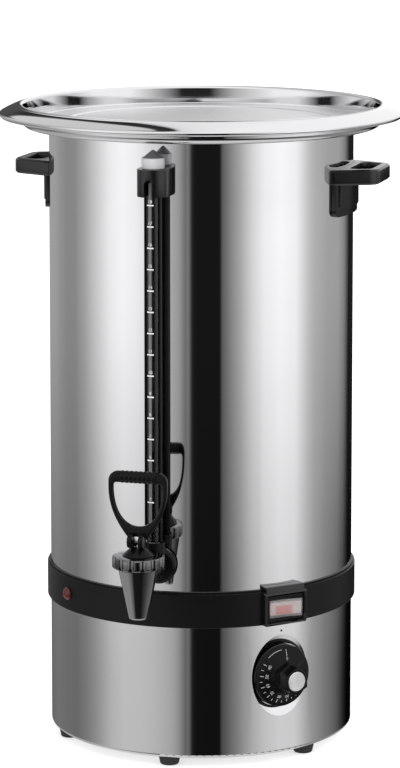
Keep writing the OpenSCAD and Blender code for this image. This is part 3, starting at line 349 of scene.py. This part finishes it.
def laid_on(piece, target, lift=0.06):
    """Lay a flat print on a surface behind it, along its own Z axis, and put its place in its mesh."""
    apply_modifier(
        piece, "SHRINKWRAP", target=target, wrap_method="PROJECT", use_project_z=True, use_project_x=False,
        use_project_y=False, use_positive_direction=False, use_negative_direction=True, offset=lift * MM,
    )
    return settle(piece)


def merged_copy(node):
    """A copy of a CAD piece whose faces share their corners."""
    source = frame["nodes"][node]
    piece = bpy.data.objects.new(node + "_skin", source.data.copy())
    bpy.context.scene.collection.objects.link(piece)
    piece.data.materials.clear()
    activate(piece)
    bpy.ops.object.mode_set(mode="EDIT")
    bpy.ops.mesh.select_all(action="SELECT")
    bpy.ops.mesh.remove_doubles(threshold=0.003 * MM)
    bpy.ops.object.mode_set(mode="OBJECT")
    return piece


def dressed_copy(node, width, segments=3, angle=32):
    """A copy of a CAD piece with its sharp edges rounded, shown in its place."""
    piece = merged_copy(node)
    bpy.ops.object.mode_set(mode="EDIT")
    bpy.ops.mesh.select_all(action="SELECT")
    bpy.ops.mesh.dissolve_limited(angle_limit=math.radians(0.4))
    bpy.ops.object.mode_set(mode="OBJECT")
    soften(piece, width, segments, angle)
    place(piece, node)
    return piece


def body_of_node(node):
    for body, nodes in frame["record"]["behaviour"]["bodies"].items():
        if node in nodes:
            return body
    raise ValueError(f"no body holds {node}")


def slot_of_node(node):
    for part in frame["record"]["subparts"]:
        if part["node"] == node:
            return part["material_slot"]
    raise ValueError(f"no slot for {node}")


def place(piece, node):
    """Show a piece instead of a CAD piece, on its body."""
    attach(piece, body_of_node(node))
    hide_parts(node)


def paint(piece, material):
    piece.data.materials.clear()
    piece.data.materials.append(material)


# Shader tools


def add_node(tree, kind, **inputs):
    """A node with its inputs set by name, an underscore standing for a space."""
    node = tree.nodes.new(kind)
    for key, value in inputs.items():
        socket = node.inputs[key.replace("_", " ")]
        if isinstance(value, bpy.types.NodeSocket):
            tree.links.new(value, socket)
        else:
            socket.default_value = value
    return node


def math_node(tree, operation, a, b=0.0):
    node = tree.nodes.new("ShaderNodeMath")
    node.operation = operation
    for socket, value in zip(node.inputs, (a, b)):
        if isinstance(value, bpy.types.NodeSocket):
            tree.links.new(value, socket)
        else:
            socket.default_value = value
    return node.outputs[0]


def spread(tree, value, low, high):
    """A value from 0 to 1 spread over another range."""
    node = add_node(tree, "ShaderNodeMapRange", Value=value, To_Min=low, To_Max=high)
    return node.outputs["Result"]


def new_group(name, inputs, outputs):
    """An empty shader group with named float inputs and outputs."""
    group = bpy.data.node_groups.new(name, "ShaderNodeTree")
    for socket, default in inputs.items():
        item = group.interface.new_socket(socket, in_out="INPUT", socket_type="NodeSocketFloat")
        item.default_value = default
    for socket in outputs:
        group.interface.new_socket(socket, in_out="OUTPUT", socket_type="NodeSocketFloat")
    return group, group.nodes.new("NodeGroupInput"), group.nodes.new("NodeGroupOutput")


def turned_lines_group():
    """Fine rings left by polishing on a turning table, on walls and on flats."""
    group, given, out = new_group("Turned lines", {"Fineness": 900.0}, ["Height", "Radius"])
    where = add_node(group, "ShaderNodeTexCoord")
    axes = add_node(group, "ShaderNodeSeparateXYZ", Vector=where.outputs["Object"])
    x, y, z = axes.outputs
    radius = math_node(group, "SQRT", math_node(group, "ADD", math_node(group, "MULTIPLY", x, x),
                                                math_node(group, "MULTIPLY", y, y)))
    noise = group.nodes.new("ShaderNodeTexNoise")
    noise.noise_dimensions = "1D"
    group.links.new(math_node(group, "ADD", radius, z), noise.inputs["W"])
    group.links.new(given.outputs["Fineness"], noise.inputs["Scale"])
    noise.inputs["Detail"].default_value = 3
    group.links.new(noise.outputs["Fac"], out.inputs["Height"])
    group.links.new(radius, out.inputs["Radius"])
    return group


def smudge_group():
    """Uneven patches where a surface was wiped or handled."""
    group, given, out = new_group("Smudges", {"Scale": 9.0}, ["Mask"])
    where = add_node(group, "ShaderNodeTexCoord")
    noise = add_node(group, "ShaderNodeTexNoise", Vector=where.outputs["Object"], Scale=given.outputs["Scale"],
                     Detail=5.0, Roughness=0.6, Distortion=0.6)
    ramp = add_node(group, "ShaderNodeMapRange", Value=noise.outputs["Fac"], From_Min=0.38, From_Max=0.68)
    group.links.new(ramp.outputs["Result"], out.inputs["Mask"])
    return group


def moulded_group():
    """The fine skin of a moulding."""
    group, given, out = new_group("Moulded skin", {"Scale": 900.0}, ["Height", "Tone"])
    where = add_node(group, "ShaderNodeTexCoord")
    fine = add_node(group, "ShaderNodeTexNoise", Vector=where.outputs["Object"], Scale=given.outputs["Scale"],
                    Detail=3.0)
    broad = add_node(group, "ShaderNodeTexNoise", Vector=where.outputs["Object"], Scale=25.0, Detail=3.0)
    group.links.new(fine.outputs["Fac"], out.inputs["Height"])
    group.links.new(broad.outputs["Fac"], out.inputs["Tone"])
    return group


GROUPS = {}


def placed_group(tree, name, **values):
    """A shared group, built once and placed in a material with its own values."""
    makers = {"Turned lines": turned_lines_group, "Smudges": smudge_group, "Moulded skin": moulded_group}
    if name not in GROUPS:
        GROUPS[name] = makers[name]()
    node = tree.nodes.new("ShaderNodeGroup")
    node.node_tree = GROUPS[name]
    for key, value in values.items():
        node.inputs[key].default_value = value
    return node


def new_material(name, color, metallic=0.0, **sockets):
    """A Principled material, with its tree and shader."""
    material = bpy.data.materials.new(name)
    material.use_nodes = True
    tree = material.node_tree
    shader = tree.nodes["Principled BSDF"]
    shader.inputs["Base Color"].default_value = (*color, 1)
    shader.inputs["Metallic"].default_value = metallic
    for key, value in sockets.items():
        shader.inputs[key.replace("_", " ")].default_value = value
    return material, tree, shader


def bump(tree, shader, height, strength, distance):
    node = add_node(tree, "ShaderNodeBump", Strength=strength, Distance=distance, Height=height)
    tree.links.new(node.outputs["Normal"], shader.inputs["Normal"])


def tinted(tree, shader, mask, low, high):
    """Base colour that a mask moves between two tones, the first perhaps mixed already. Returns the colour."""
    mix = tree.nodes.new("ShaderNodeMix")
    mix.data_type = "RGBA"
    tree.links.new(mask, mix.inputs["Factor"])
    if isinstance(low, bpy.types.NodeSocket):
        tree.links.new(low, mix.inputs[6])
    else:
        mix.inputs[6].default_value = (*low, 1)
    mix.inputs[7].default_value = (*high, 1)
    tree.links.new(mix.outputs[2], shader.inputs["Base Color"])
    return mix.outputs[2]


def scaled(color, factor):
    return tuple(min(1, c * factor) for c in color)


# Materials


def polished_metal(name, color, rough, lines=0.008, satin_r=None, matt=0.0):
    """Bare metal polished in a turning machine, a little smudged, satin or matt inside a radius in mm if given."""
    material, tree, shader = new_material(name, color, 1.0)
    smudges = placed_group(tree, "Smudges", Scale=7.0)
    rings = placed_group(tree, "Turned lines", Fineness=1400.0)
    wear = math_node(tree, "ADD", math_node(tree, "MULTIPLY", smudges.outputs["Mask"], 0.6),
                     math_node(tree, "MULTIPLY", rings.outputs["Height"], 0.4))
    roughness = spread(tree, wear, rough * 0.75, rough * 1.5)
    if satin_r:
        satin = math_node(tree, "LESS_THAN", rings.outputs["Radius"], satin_r * MM)
        roughness = math_node(tree, "ADD", roughness, math_node(tree, "MULTIPLY", satin, 0.22))
        tree.links.new(spread(tree, satin, 1.0, 1 - matt), shader.inputs["Metallic"])
    tree.links.new(roughness, shader.inputs["Roughness"])
    tinted(tree, shader, smudges.outputs["Mask"], color, scaled(color, 0.965))
    bump(tree, shader, rings.outputs["Height"], lines, 0.0004)
    return material


def plain_metal(name, color, rough):
    """Turned or plated metal of small parts."""
    material, tree, shader = new_material(name, color, 1.0)
    smudges = placed_group(tree, "Smudges", Scale=60.0)
    tree.links.new(spread(tree, smudges.outputs["Mask"], rough * 0.8, rough * 1.3), shader.inputs["Roughness"])
    tinted(tree, shader, smudges.outputs["Mask"], color, scaled(color, 0.9))
    return material


def moulded_plastic(name, color, rough, grain, **sockets):
    """Moulded plastic with a fine skin and slightly uneven tone."""
    material, tree, shader = new_material(name, color, **sockets)
    skin = placed_group(tree, "Moulded skin", Scale=700.0)
    tree.links.new(spread(tree, skin.outputs["Tone"], rough * 0.85, rough * 1.2), shader.inputs["Roughness"])
    tinted(tree, shader, skin.outputs["Tone"], scaled(color, 0.8), scaled(color, 1.25))
    bump(tree, shader, skin.outputs["Height"], grain, 0.0003)
    return material


def knurled_metal(name, color, rough):
    """Plated metal with a fine cross knurl round the gauge's axis, and a painted dark reflection on the cone above it.
    """
    ridges, ridges_per_m, cone_h = 26.0, 3600.0, 6.2
    material, tree, shader = new_material(name, color, 0.6, Roughness=rough)
    where = add_node(tree, "ShaderNodeTexCoord")
    centred = add_node(tree, "ShaderNodeMapping", Vector=where.outputs["Object"])
    centred.inputs["Location"].default_value = (0, -GAUGE_Y * MM, 0)
    axes = add_node(tree, "ShaderNodeSeparateXYZ", Vector=centred.outputs["Vector"])
    x, y, z = axes.outputs
    turn = math_node(tree, "MULTIPLY", math_node(tree, "ARCTAN2", x, y), ridges)
    rise = math_node(tree, "MULTIPLY", z, ridges_per_m)
    one = math_node(tree, "SINE", math_node(tree, "ADD", turn, rise))
    other = math_node(tree, "SINE", math_node(tree, "SUBTRACT", turn, rise))
    bump(tree, shader, math_node(tree, "ADD", one, other), 0.5, 0.00025)
    # Painted dark reflection: the chrome cone above the knurl is tinted to 0.3 of its tone.
    dark_reflection_cone = math_node(tree, "GREATER_THAN", z, (GAUGE_CAP_TOP - cone_h) * MM)
    tinted(tree, shader, dark_reflection_cone, color, scaled(color, 0.3))
    return material


def glowing_rocker(name, color, rough):
    """Translucent plastic with painted light: a red glow painted in front of its lamp, pale round that, and painted
    shade at its upper and lower edge.
    """
    lamp_off, lamp_half_w, lamp_half_h = 1.5, 9.0, 4.5
    pale_tone, painted_shade_tone = (0.6, 0.52, 0.52), (0.05, 0.035, 0.035)
    material, tree, shader = new_material(name, color, Roughness=rough)
    low, high = box_mm("rocker")
    centre = (low + high) / 2
    where = add_node(tree, "ShaderNodeTexCoord")
    away = add_node(tree, "ShaderNodeVectorMath", Vector=where.outputs["Object"])
    away.operation = "SUBTRACT"
    away.inputs[1].default_value = centre * MM
    axes = add_node(tree, "ShaderNodeSeparateXYZ", Vector=away.outputs["Vector"])
    x, y, z = axes.outputs
    side = math_node(tree, "ADD", math_node(tree, "MULTIPLY", x, -KNOB_OUT.y / MM),
                     math_node(tree, "MULTIPLY", y, KNOB_OUT.x / MM))
    rise = math_node(tree, "DIVIDE", z, MM)
    across = math_node(tree, "ABSOLUTE", math_node(tree, "ADD", side, lamp_off))
    along = math_node(tree, "ABSOLUTE", math_node(tree, "ADD", rise, lamp_off))
    lamp = math_node(tree, "MAXIMUM", math_node(tree, "DIVIDE", across, lamp_half_w),
                     math_node(tree, "DIVIDE", along, lamp_half_h))
    pale = add_node(tree, "ShaderNodeMapRange", Value=lamp, From_Min=0.6, From_Max=1.1)
    # Painted shade along the rocker's upper and lower edge.
    dark = add_node(tree, "ShaderNodeMapRange", Value=math_node(tree, "ABSOLUTE", rise), From_Min=4.6, From_Max=6.2)
    for step in (pale, dark):
        step.interpolation_type = "SMOOTHSTEP"
    # Painted glow: red in front of the lamp, pale round it.
    glow = tinted(tree, shader, pale.outputs["Result"], color, pale_tone)
    tinted(tree, shader, dark.outputs["Result"], glow, painted_shade_tone)
    return material


def clear_material(name, color, rough, ior, clearness=1.0):
    material, tree, shader = new_material(name, color, Transmission_Weight=clearness, IOR=ior)
    smudges = placed_group(tree, "Smudges", Scale=40.0)
    tree.links.new(spread(tree, smudges.outputs["Mask"], rough, rough + 0.05), shader.inputs["Roughness"])
    return material


def make_materials(finish):
    """All finishes by slot of the record, and the prints."""
    return {
        "polished_steel": polished_metal("polished steel", finish.steel, 0.035),
        "vessel_steel": polished_metal("vessel steel", finish.steel, 0.035, satin_r=BODY_R - 0.5, matt=0.6),
        "tray_steel": polished_metal("tray steel", finish.steel, 0.035, satin_r=BODY_R + 22),
        "plated_steel": plain_metal("plated steel", (0.62, 0.63, 0.65), 0.28),
        "chrome": polished_metal("chrome plate", finish.chrome, 0.07, 0.0),
        # The collar's chrome at 0.42 of the chrome tone: painted shade.
        "painted_shade_chrome": polished_metal("chrome plate with painted shade", scaled(finish.chrome, 0.42), 0.05, 0.0),
        "knurled_chrome": knurled_metal("knurled chrome", scaled(finish.chrome, 2.1), 0.3),
        "black_gloss": moulded_plastic("black gloss plastic", finish.black, 0.08, 0.02, Specular_IOR_Level=0.13),
        "black_satin": moulded_plastic("black satin plastic", finish.black, 0.32, 0.05, Specular_IOR_Level=0.16),
        "black_grip": moulded_plastic("black grip plastic", finish.black, 0.2, 0.03, Specular_IOR_Level=0.5),
        "black_rubber": moulded_plastic("black rubber", (0.02, 0.02, 0.02), 0.75, 0.25),
        "white_rubber": moulded_plastic("white rubber", (0.7, 0.7, 0.68), 0.6, 0.1),
        "clear_glass": clear_material("smoked gauge glass", (0.12, 0.12, 0.125), 0.02, 1.47),
        "red_plastic": moulded_plastic("red lens", finish.lamp_red, 0.12, 0.0),
        "rocker": glowing_rocker("lit red plastic", finish.rocker_pink, 0.35),
        "clear_plastic": clear_material("clear cap", (0.97, 0.95, 0.95), 0.05, 1.49, 0.93),
        "pale_plastic": moulded_plastic("pale plastic", (0.72, 0.69, 0.6), 0.5, 0.06),
        "aluminium": plain_metal("turned aluminium", (0.8, 0.8, 0.81), 0.3),
        "heater_steel": plain_metal("heater steel", (0.22, 0.2, 0.19), 0.45),
        "copper": plain_metal("copper", (0.75, 0.4, 0.25), 0.3),
        "print": moulded_plastic("white print", finish.print_white, 0.5, 0.0),
        "grey_print": moulded_plastic("grey print", scaled(finish.print_white, 0.17), 0.5, 0.0),
        "dial_print": moulded_plastic("dial print", scaled(finish.print_white, 0.6), 0.5, 0.0),
    }


MATERIALS = {}
# Pieces whose finish differs from their slot's
SPECIAL = {
    "vessel": "vessel_steel", "rocker": "rocker", "gauge_cap": "knurled_chrome", "tap_collar": "painted_shade_chrome",
    "handle_left": "black_grip", "handle_right": "black_grip", "gauge_bracket": "black_grip",
    "switch_frame": "black_grip",
}


def finish_of_node(node):
    return MATERIALS[SPECIAL.get(node, slot_of_node(node))]


class URN_OT_finishes(bpy.types.Operator):
    """Make the finishes and give every CAD piece its own"""

    bl_idname = "urn.finishes"
    bl_label = "Finishes"

    def execute(self, context):
        MATERIALS.update(make_materials(context.scene.urn_finish))
        for node, piece in frame["nodes"].items():
            paint(piece, finish_of_node(node))
        return {"FINISHED"}


# Pieces


class URN_OT_tray(bpy.types.Operator):
    """Turn the tray from one sheet with soft bends and a rolled edge"""

    bl_idname = "urn.tray"
    bl_label = "Tray"

    def execute(self, context):
        sheet_t, hem = 1.2, 1.3
        floor_z, crest_z = TRAY_TOP - 14.7, TRAY_TOP - 0.7
        recess_z, gutter_z, edge_z = floor_z - 0.7, floor_z - 4, crest_z - 6.8
        wall_r, inner_r, recess_r = BODY_R + 22.8, BODY_R + 12.8, BODY_R - 15
        path = [
            (0, recess_z), (recess_r - 1.5, recess_z), (recess_r + 0.5, floor_z), (inner_r - 1.5, floor_z),
            (inner_r + 1.5, gutter_z), (wall_r, gutter_z), (wall_r, crest_z + 1),
            ((wall_r + TRAY_R) / 2, crest_z - 1.6), (TRAY_R - hem, edge_z + 0.6), (TRAY_R, edge_z),
            (TRAY_R, edge_z - 2 * hem), (TRAY_R - 3 * hem, edge_z + 0.2 - 2 * hem),
        ]
        radii = [0, 2, 2, 3, 1.6, 4.5, 2, 60, 4, 0.9 * hem, 0.9 * hem, 0]
        skin = turned("tray_sheet", sheet(path, radii, sheet_t), steps=256)
        ring_r, ring_low = BODY_R - 5.1, floor_z - 11
        ring_path = [(ring_r, floor_z - 0.2), (ring_r, ring_low)]
        ring = turned("tray_locator", sheet(ring_path, [0, 0], sheet_t), steps=256)
        skin = joined("tray_skin", [skin, ring])
        smooth(skin)
        paint(skin, MATERIALS["tray_steel"])
        place(skin, "tray")
        return {"FINISHED"}


class URN_OT_lever(bpy.types.Operator):
    """Shape the lever: a bowed loop, a fork with its heel and a knurled sleeve on the bar"""

    bl_idname = "urn.lever"
    bl_label = "Lever"

    def execute(self, context):
        high = box_mm("lever")[1]
        top, half = high.z, high.x
        pivot = Vector(JOINTS["lever_tilt"]["pos_m"]) / MM
        height = top - pivot.z
        bar, arm, fork, hub = 9.4, 3.9, 13.5, 5.6
        loop_t, cheek_t, heel, sleeve_half = 5.4, 4.05, 6, 15.2
        y, front = pivot.y, pivot.y - loop_t / 2
        outer = self.side(half, height, 8, 0, [0.23, 0.56, 0.8, 1.0], 0.66, fork / 2)
        inner = self.side(half - arm, height, 3, bar, [0.23, 0.53, 0.8, 0.8], 0.68, 0.01)
        loop = slab(
            self.around(outer, top, front), (0, loop_t, 0), hole=self.around(inner, top, front), edge=1.7, segments=4
        )
        pieces = [loop]
        for x in (-fork / 2, fork / 2 - cheek_t):
            cheek = [(x, y + hub * math.cos(a), pivot.z + hub * math.sin(a)) for a in self.sweep(-90, 90)]
            cheek += [(x, y - heel + hub * math.cos(a), pivot.z + hub * math.sin(a)) for a in self.sweep(90, 270)]
            pieces.append(slab(cheek, (cheek_t, 0, 0), edge=0.7))
        sleeve = self.sleeve(sleeve_half, bar / 2)
        sleeve.rotation_euler = (0, math.pi / 2, 0)
        sleeve.location = Vector((0, y, top - bar / 2)) * MM
        pieces.append(settle(sleeve))
        skin = joined("lever_skin", pieces)
        smooth(skin, 40)
        paint(skin, MATERIALS["black_gloss"])
        place(skin, "lever")
        return {"FINISHED"}

    def sweep(self, start, end, steps=12):
        return [math.radians(start + (end - start) * i / steps) for i in range(steps + 1)]

    def side(self, w, height, r, top, depths, waist, foot):
        """Right half of a loop from its top down: a round corner, then a smooth curve."""
        corner = [(w - r + r * math.sin(a), -top - r + r * math.cos(a)) for a in self.sweep(0, 90, 8)]
        p = [Vector((x, -d * height)) for x, d in zip((w, w, waist * w, foot), depths)]
        steps = 22
        curve = []
        for i in range(steps + 1):
            t = i / steps
            s = 1 - t
            curve.append(tuple(s ** 3 * p[0] + 3 * s * s * t * p[1] + 3 * s * t * t * p[2] + t ** 3 * p[3]))
        return corner + curve

    def around(self, side, top, y):
        """The right half and its mirror image as one loop in space."""
        return [(x, y, top + z) for x, z in side] + [(-x, y, top + z) for x, z in side[::-1]]

    def sleeve(self, half, radius):
        """A round sleeve with beads in rows, standing on its axis."""
        beads, bead_steps = 8, 7
        steps = beads * bead_steps
        outline = [(0.1, -half)]
        for i in range(steps + 1):
            z = -half + 2 * half * i / steps
            rise = 0.45 * abs(math.sin(math.pi * i / bead_steps)) if 0 < i < steps else -0.5
            outline.append((radius + rise, z))
        outline.append((0.1, half))
        return turned("lever_sleeve", outline, steps=48)


class URN_OT_moulded(bpy.types.Operator):
    """Round the edges of the moulded and cast pieces"""

    bl_idname = "urn.moulded"
    bl_label = "Moulded pieces"

    def execute(self, context):
        edges = {
            "handle_left": 0.9, "handle_right": 0.9, "gauge_bracket": 0.7, "tap_collar": 0.6, "knob": 0.5,
            "switch_frame": 0.5, "rocker": 0.3, "rocker_cap": 0.25, "feet": 0.8, "cord_gland": 0.5,
            "gauge_guard": 0.3,
        }
        for node, width in edges.items():
            paint(dressed_copy(node, width), finish_of_node(node))
        return {"FINISHED"}


class URN_OT_spring(bpy.types.Operator):
    """Show a smooth copy of the valve's spring, with a mesh of its own, in place of the CAD piece"""

    bl_idname = "urn.spring"
    bl_label = "Valve spring"

    def execute(self, context):
        skin = merged_copy("valve_spring")
        smooth(skin, 40)
        paint(skin, finish_of_node("valve_spring"))
        place(skin, "valve_spring")
        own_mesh(skin)
        return {"FINISHED"}


class URN_OT_prints(bpy.types.Operator):
    """Print the litre marks on the gauge, the scale on the knob and the mark above it"""

    bl_idname = "urn.prints"
    bl_label = "Printed marks"

    def execute(self, context):
        marks = context.scene.urn_print
        self.gauge(marks)
        self.dial(marks)
        self.index()
        return {"FINISHED"}

    def gauge(self, marks):
        tube = frame["nodes"]["gauge_tube"]
        first, step = 479.5, marks.litre / MM
        line_r, tick_r, tick_half = GAUGE_R + 0.05, GAUGE_R + 0.08, 0.55
        ends = [(line_r, first + 18.5), (line_r, first - 15.2 * step)]
        line = turned("gauge_line", ends, (0, GAUGE_Y), 6, math.radians(25))
        pieces = []
        for i in range(marks.gauge_marks):
            z = first - step * i
            ends = [(tick_r, z - tick_half), (tick_r, z + tick_half)]
            pieces.append(turned("tick", ends, (0, GAUGE_Y), 10, math.radians(58)))
            number = lettering(str(marks.gauge_full - i), 3.8)
            number.matrix_world = wall_matrix(0, -GAUGE_Y + 20, z + 2.9)
            pieces.append(laid_on(number, tube, 0.09))
        skin = joined("gauge_print", pieces)
        paint(line, MATERIALS["grey_print"])
        paint(skin, MATERIALS["print"])
        axis = Vector((0, GAUGE_Y * MM, 0))
        for piece in (line, skin):
            piece.matrix_world = (
                Matrix.Translation(axis) @ Matrix.Rotation(math.radians(-10), 4, "Z") @ Matrix.Translation(-axis)
            )
            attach(settle(piece), body_of_node("gauge_tube"))

    def dial(self, marks):
        numbers = list(range(marks.dial_low, marks.dial_high + 1, 10))
        off, first, span = -7, 57, 158
        step = span / (len(numbers) - 1)
        pieces = [self.mark(dash(0.5, 5.5), off, 20), self.mark(lettering("0", 3.4), off, 15.4)]
        for i, number in enumerate(numbers):
            pieces.append(self.mark(dash(0.5, 2.8), first + step * i, 21.6))
            pieces.append(self.mark(lettering(str(number), 3.6), first + step * i, 17.5))
            if i < len(numbers) - 1:
                pieces.append(self.mark(dash(0.4, 2.0), first + step * (i + 0.5), 22))
        arc_dashes, arc_from, arc_step = 9, 6, 4
        for i in range(arc_dashes):
            pieces.append(self.mark(dash(1.6, 0.4), arc_from + arc_step * i, 22.6))
        skin = joined("dial_print", pieces)
        paint(skin, MATERIALS["dial_print"])
        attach(skin, "knob")

    def mark(self, piece, degrees, radius):
        """Lay a mark on the knob's skirt, so far anticlockwise from its top and so far from its axis."""
        before_knob = wall_matrix(KNOB_AZIMUTH, 175, KNOB_PIVOT.z)
        turn = Matrix.Rotation(math.radians(degrees), 4, "Z")
        piece.matrix_world = before_knob @ turn @ Matrix.Translation((0, radius * MM, 0))
        return laid_on(piece, frame["nodes"]["knob"])

    def index(self):
        above_knob, dot_r, lift = 38.5, 1.0, 0.06
        clear_selection()
        bpy.ops.mesh.primitive_circle_add(vertices=24, radius=dot_r * MM, fill_type="NGON")
        dot = rename(bpy.context.object, "dial_index")
        dot.matrix_world = wall_matrix(KNOB_AZIMUTH, BODY_R + lift, KNOB_PIVOT.z + above_knob)
        settle(dot)
        paint(dot, MATERIALS["red_plastic"])
        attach(dot, "urn")


class URN_OT_stage(bpy.types.Operator):
    """Set the floor, the light and the camera"""

    bl_idname = "urn.stage"
    bl_label = "Studio"

    def execute(self, context):
        studio = context.scene.urn_studio
        self.floor(studio)
        self.light(context, studio)
        self.camera(context, studio)
        return {"FINISHED"}

    def floor(self, studio):
        clear_selection()
        bpy.ops.mesh.primitive_plane_add(size=30)
        floor = rename(bpy.context.object, "floor")
        floor.visible_glossy = False
        material, _, shader = new_material("floor", studio.floor_color, Roughness=0.9)
        shader.inputs["Emission Color"].default_value = (1, 1, 1, 1)
        shader.inputs["Emission Strength"].default_value = 0.55
        paint(floor, material)

    def light(self, context, studio):
        """A tent whose wall is bright at both sides, dark behind the camera and grey behind the urn."""
        world = bpy.data.worlds.new("light tent")
        context.scene.world = world
        world.use_nodes = True
        tree = world.node_tree
        background = tree.nodes["Background"]
        where = add_node(tree, "ShaderNodeTexCoord")
        turn = add_node(tree, "ShaderNodeMapping", Vector=where.outputs["Generated"])
        turn.inputs["Rotation"].default_value = (0, 0, -math.radians(studio.azimuth))
        axes = add_node(tree, "ShaderNodeSeparateXYZ", Vector=turn.outputs["Vector"])
        right, ahead, height = axes.outputs
        angle = math_node(tree, "ARCTAN2", right, math_node(tree, "MULTIPLY", ahead, -1.0))
        share = math_node(tree, "ADD", math_node(tree, "DIVIDE", angle, math.tau), 0.5)
        wall = self.ring(tree, share, [
            (-180, 0.38), (-145, 0.41), (-122, 0.31), (-110, 0.32), (-98, 0.48), (-84, 0.8), (-72, 1.1), (-61, 1.2),
            (-50, 1.12), (-22, 0.57), (-17, 0.42), (-11.5, 0.18), (-10, 0.26), (-8.8, 0.17), (-7.2, 0.03), (-5, 0.01),
            (14, 0.01), (16, 0.16), (18, 0.19), (29, 0.49), (39, 0.87), (48, 1.12), (62, 1.24), (76, 1.14), (88, 0.7),
            (95, 0.56), (110, 0.46), (127, 0.43), (138, 0.28), (148, 0.015), (180, 0.015),
        ])
        fall = self.ring(tree, share, [
            (-180, 0.3), (-120, 0.6), (-90, 0.48), (-50, 0.57), (-20, 0.85), (20, 0.6), (45, 0.6), (90, 0.72),
            (115, 0.45), (140, 0.1), (180, 0.1),
        ])
        ground = self.ring(tree, share, [
            (-180, 0.45), (-75, 0.5), (-48, 0.25), (-32, 0.02), (25, 0.015), (60, 0.1), (90, 0.22), (180, 0.45),
        ])
        rim = self.ring(tree, share, [
            (-180, 0.6), (-176, 0.08), (-163, 0.08), (-150, 0.5), (-98, 0.5), (-72, 1.1), (-50, 1.1), (-22, 0.55),
            (-12, 0.22), (-6, 0.02), (13, 0.02), (19, 0.21), (39, 0.85), (48, 1.1), (76, 1.1), (95, 0.7), (150, 1.0),
            (177, 1.15), (180, 0.6),
        ])
        ceiling = self.ring(tree, share, [
            (-180, 1.0), (-171.8, 0.9), (-171, 0.03), (-164.6, 0.03), (-163.6, 0.74), (-140, 0.7), (-125, 0.5),
            (-90, 0.7), (-40, 1.12), (165, 1.12), (180, 1.0),
        ])
        dimmed = math_node(tree, "MULTIPLY", wall, fall)
        # Heights are sines of the elevation, from the wall down to the floor and up to the ceiling
        low = self.blend(tree, height, -0.14, -0.27, wall, dimmed)
        under = self.blend(tree, height, -0.3, -0.38, low, ground)
        under = self.blend(tree, height, -0.66, -0.76, under, 0.75)
        above = self.blend(tree, height, -0.08, -0.03, under, rim)
        tent = self.blend(tree, height, 0.2, 0.36, above, ceiling)
        seen = add_node(tree, "ShaderNodeLightPath")
        mix = add_node(tree, "ShaderNodeMix", Factor=seen.outputs["Is Camera Ray"], A=tent, B=1.0)
        tree.links.new(mix.outputs["Result"], background.inputs["Color"])
        context.scene.view_settings.view_transform = "Standard"

    def ring(self, tree, share, stops):
        """Brightness round the tent, by degrees from the camera to its right."""
        node = tree.nodes.new("ShaderNodeValToRGB")
        tree.links.new(share, node.inputs["Fac"])
        ramp = node.color_ramp
        while len(ramp.elements) < len(stops):
            ramp.elements.new(0.5)
        for element, (degrees, value) in zip(ramp.elements, stops):
            element.position = degrees / 360 + 0.5
            element.color = (value, value, value, 1)
        return node.outputs["Color"]

    def blend(self, tree, height, start, end, before, after):
        """Brightness that changes between two heights of the tent."""
        step = add_node(tree, "ShaderNodeMapRange", Value=height, From_Min=start, From_Max=end)
        step.interpolation_type = "SMOOTHSTEP"
        return add_node(tree, "ShaderNodeMix", Factor=step.outputs["Result"], A=before, B=after).outputs["Result"]

    def camera(self, context, studio):
        bpy.ops.object.camera_add()
        camera = bpy.context.object
        turn, tilt = math.radians(studio.azimuth), math.radians(studio.tilt)
        camera.location = (studio.distance * math.sin(turn), -studio.distance * math.cos(turn), studio.height)
        camera.rotation_euler = (math.pi / 2 - tilt, 0, turn)
        camera.data.lens = studio.lens
        camera.data.sensor_width = 36
        camera.data.shift_x = studio.shift_x
        camera.data.shift_y = studio.shift_y
        context.scene.camera = camera


class URN_PT_panel(bpy.types.Panel):
    """Everything that dresses the urn, in order"""

    bl_label = "Hot drink dispenser"
    bl_space_type = "VIEW_3D"
    bl_region_type = "UI"
    bl_category = "Urn"

    def draw(self, context):
        for settings in (context.scene.urn_studio, context.scene.urn_finish, context.scene.urn_print):
            for key in settings.__annotations__:
                self.layout.prop(settings, key)
        for operator in OPERATORS:
            self.layout.operator(operator.bl_idname)


OPERATORS = (
    URN_OT_finishes, URN_OT_tray, URN_OT_lever, URN_OT_moulded, URN_OT_spring, URN_OT_prints, URN_OT_stage,
)
SETTINGS = {"urn_studio": UrnStudio, "urn_finish": UrnFinish, "urn_print": UrnPrint}


def register():
    for cls in (*SETTINGS.values(), *OPERATORS, URN_PT_panel):
        bpy.utils.register_class(cls)
    for key, cls in SETTINGS.items():
        setattr(bpy.types.Scene, key, bpy.props.PointerProperty(type=cls))


def unregister():
    for key in SETTINGS:
        delattr(bpy.types.Scene, key)
    for cls in reversed((*SETTINGS.values(), *OPERATORS, URN_PT_panel)):
        bpy.utils.unregister_class(cls)


def main():
    register()
    bpy.ops.urn.finishes()
    bpy.ops.urn.tray()
    bpy.ops.urn.lever()
    bpy.ops.urn.moulded()
    bpy.ops.urn.spring()
    bpy.ops.urn.prints()
    bpy.ops.urn.stage()


if __name__ == "__main__":
    main()
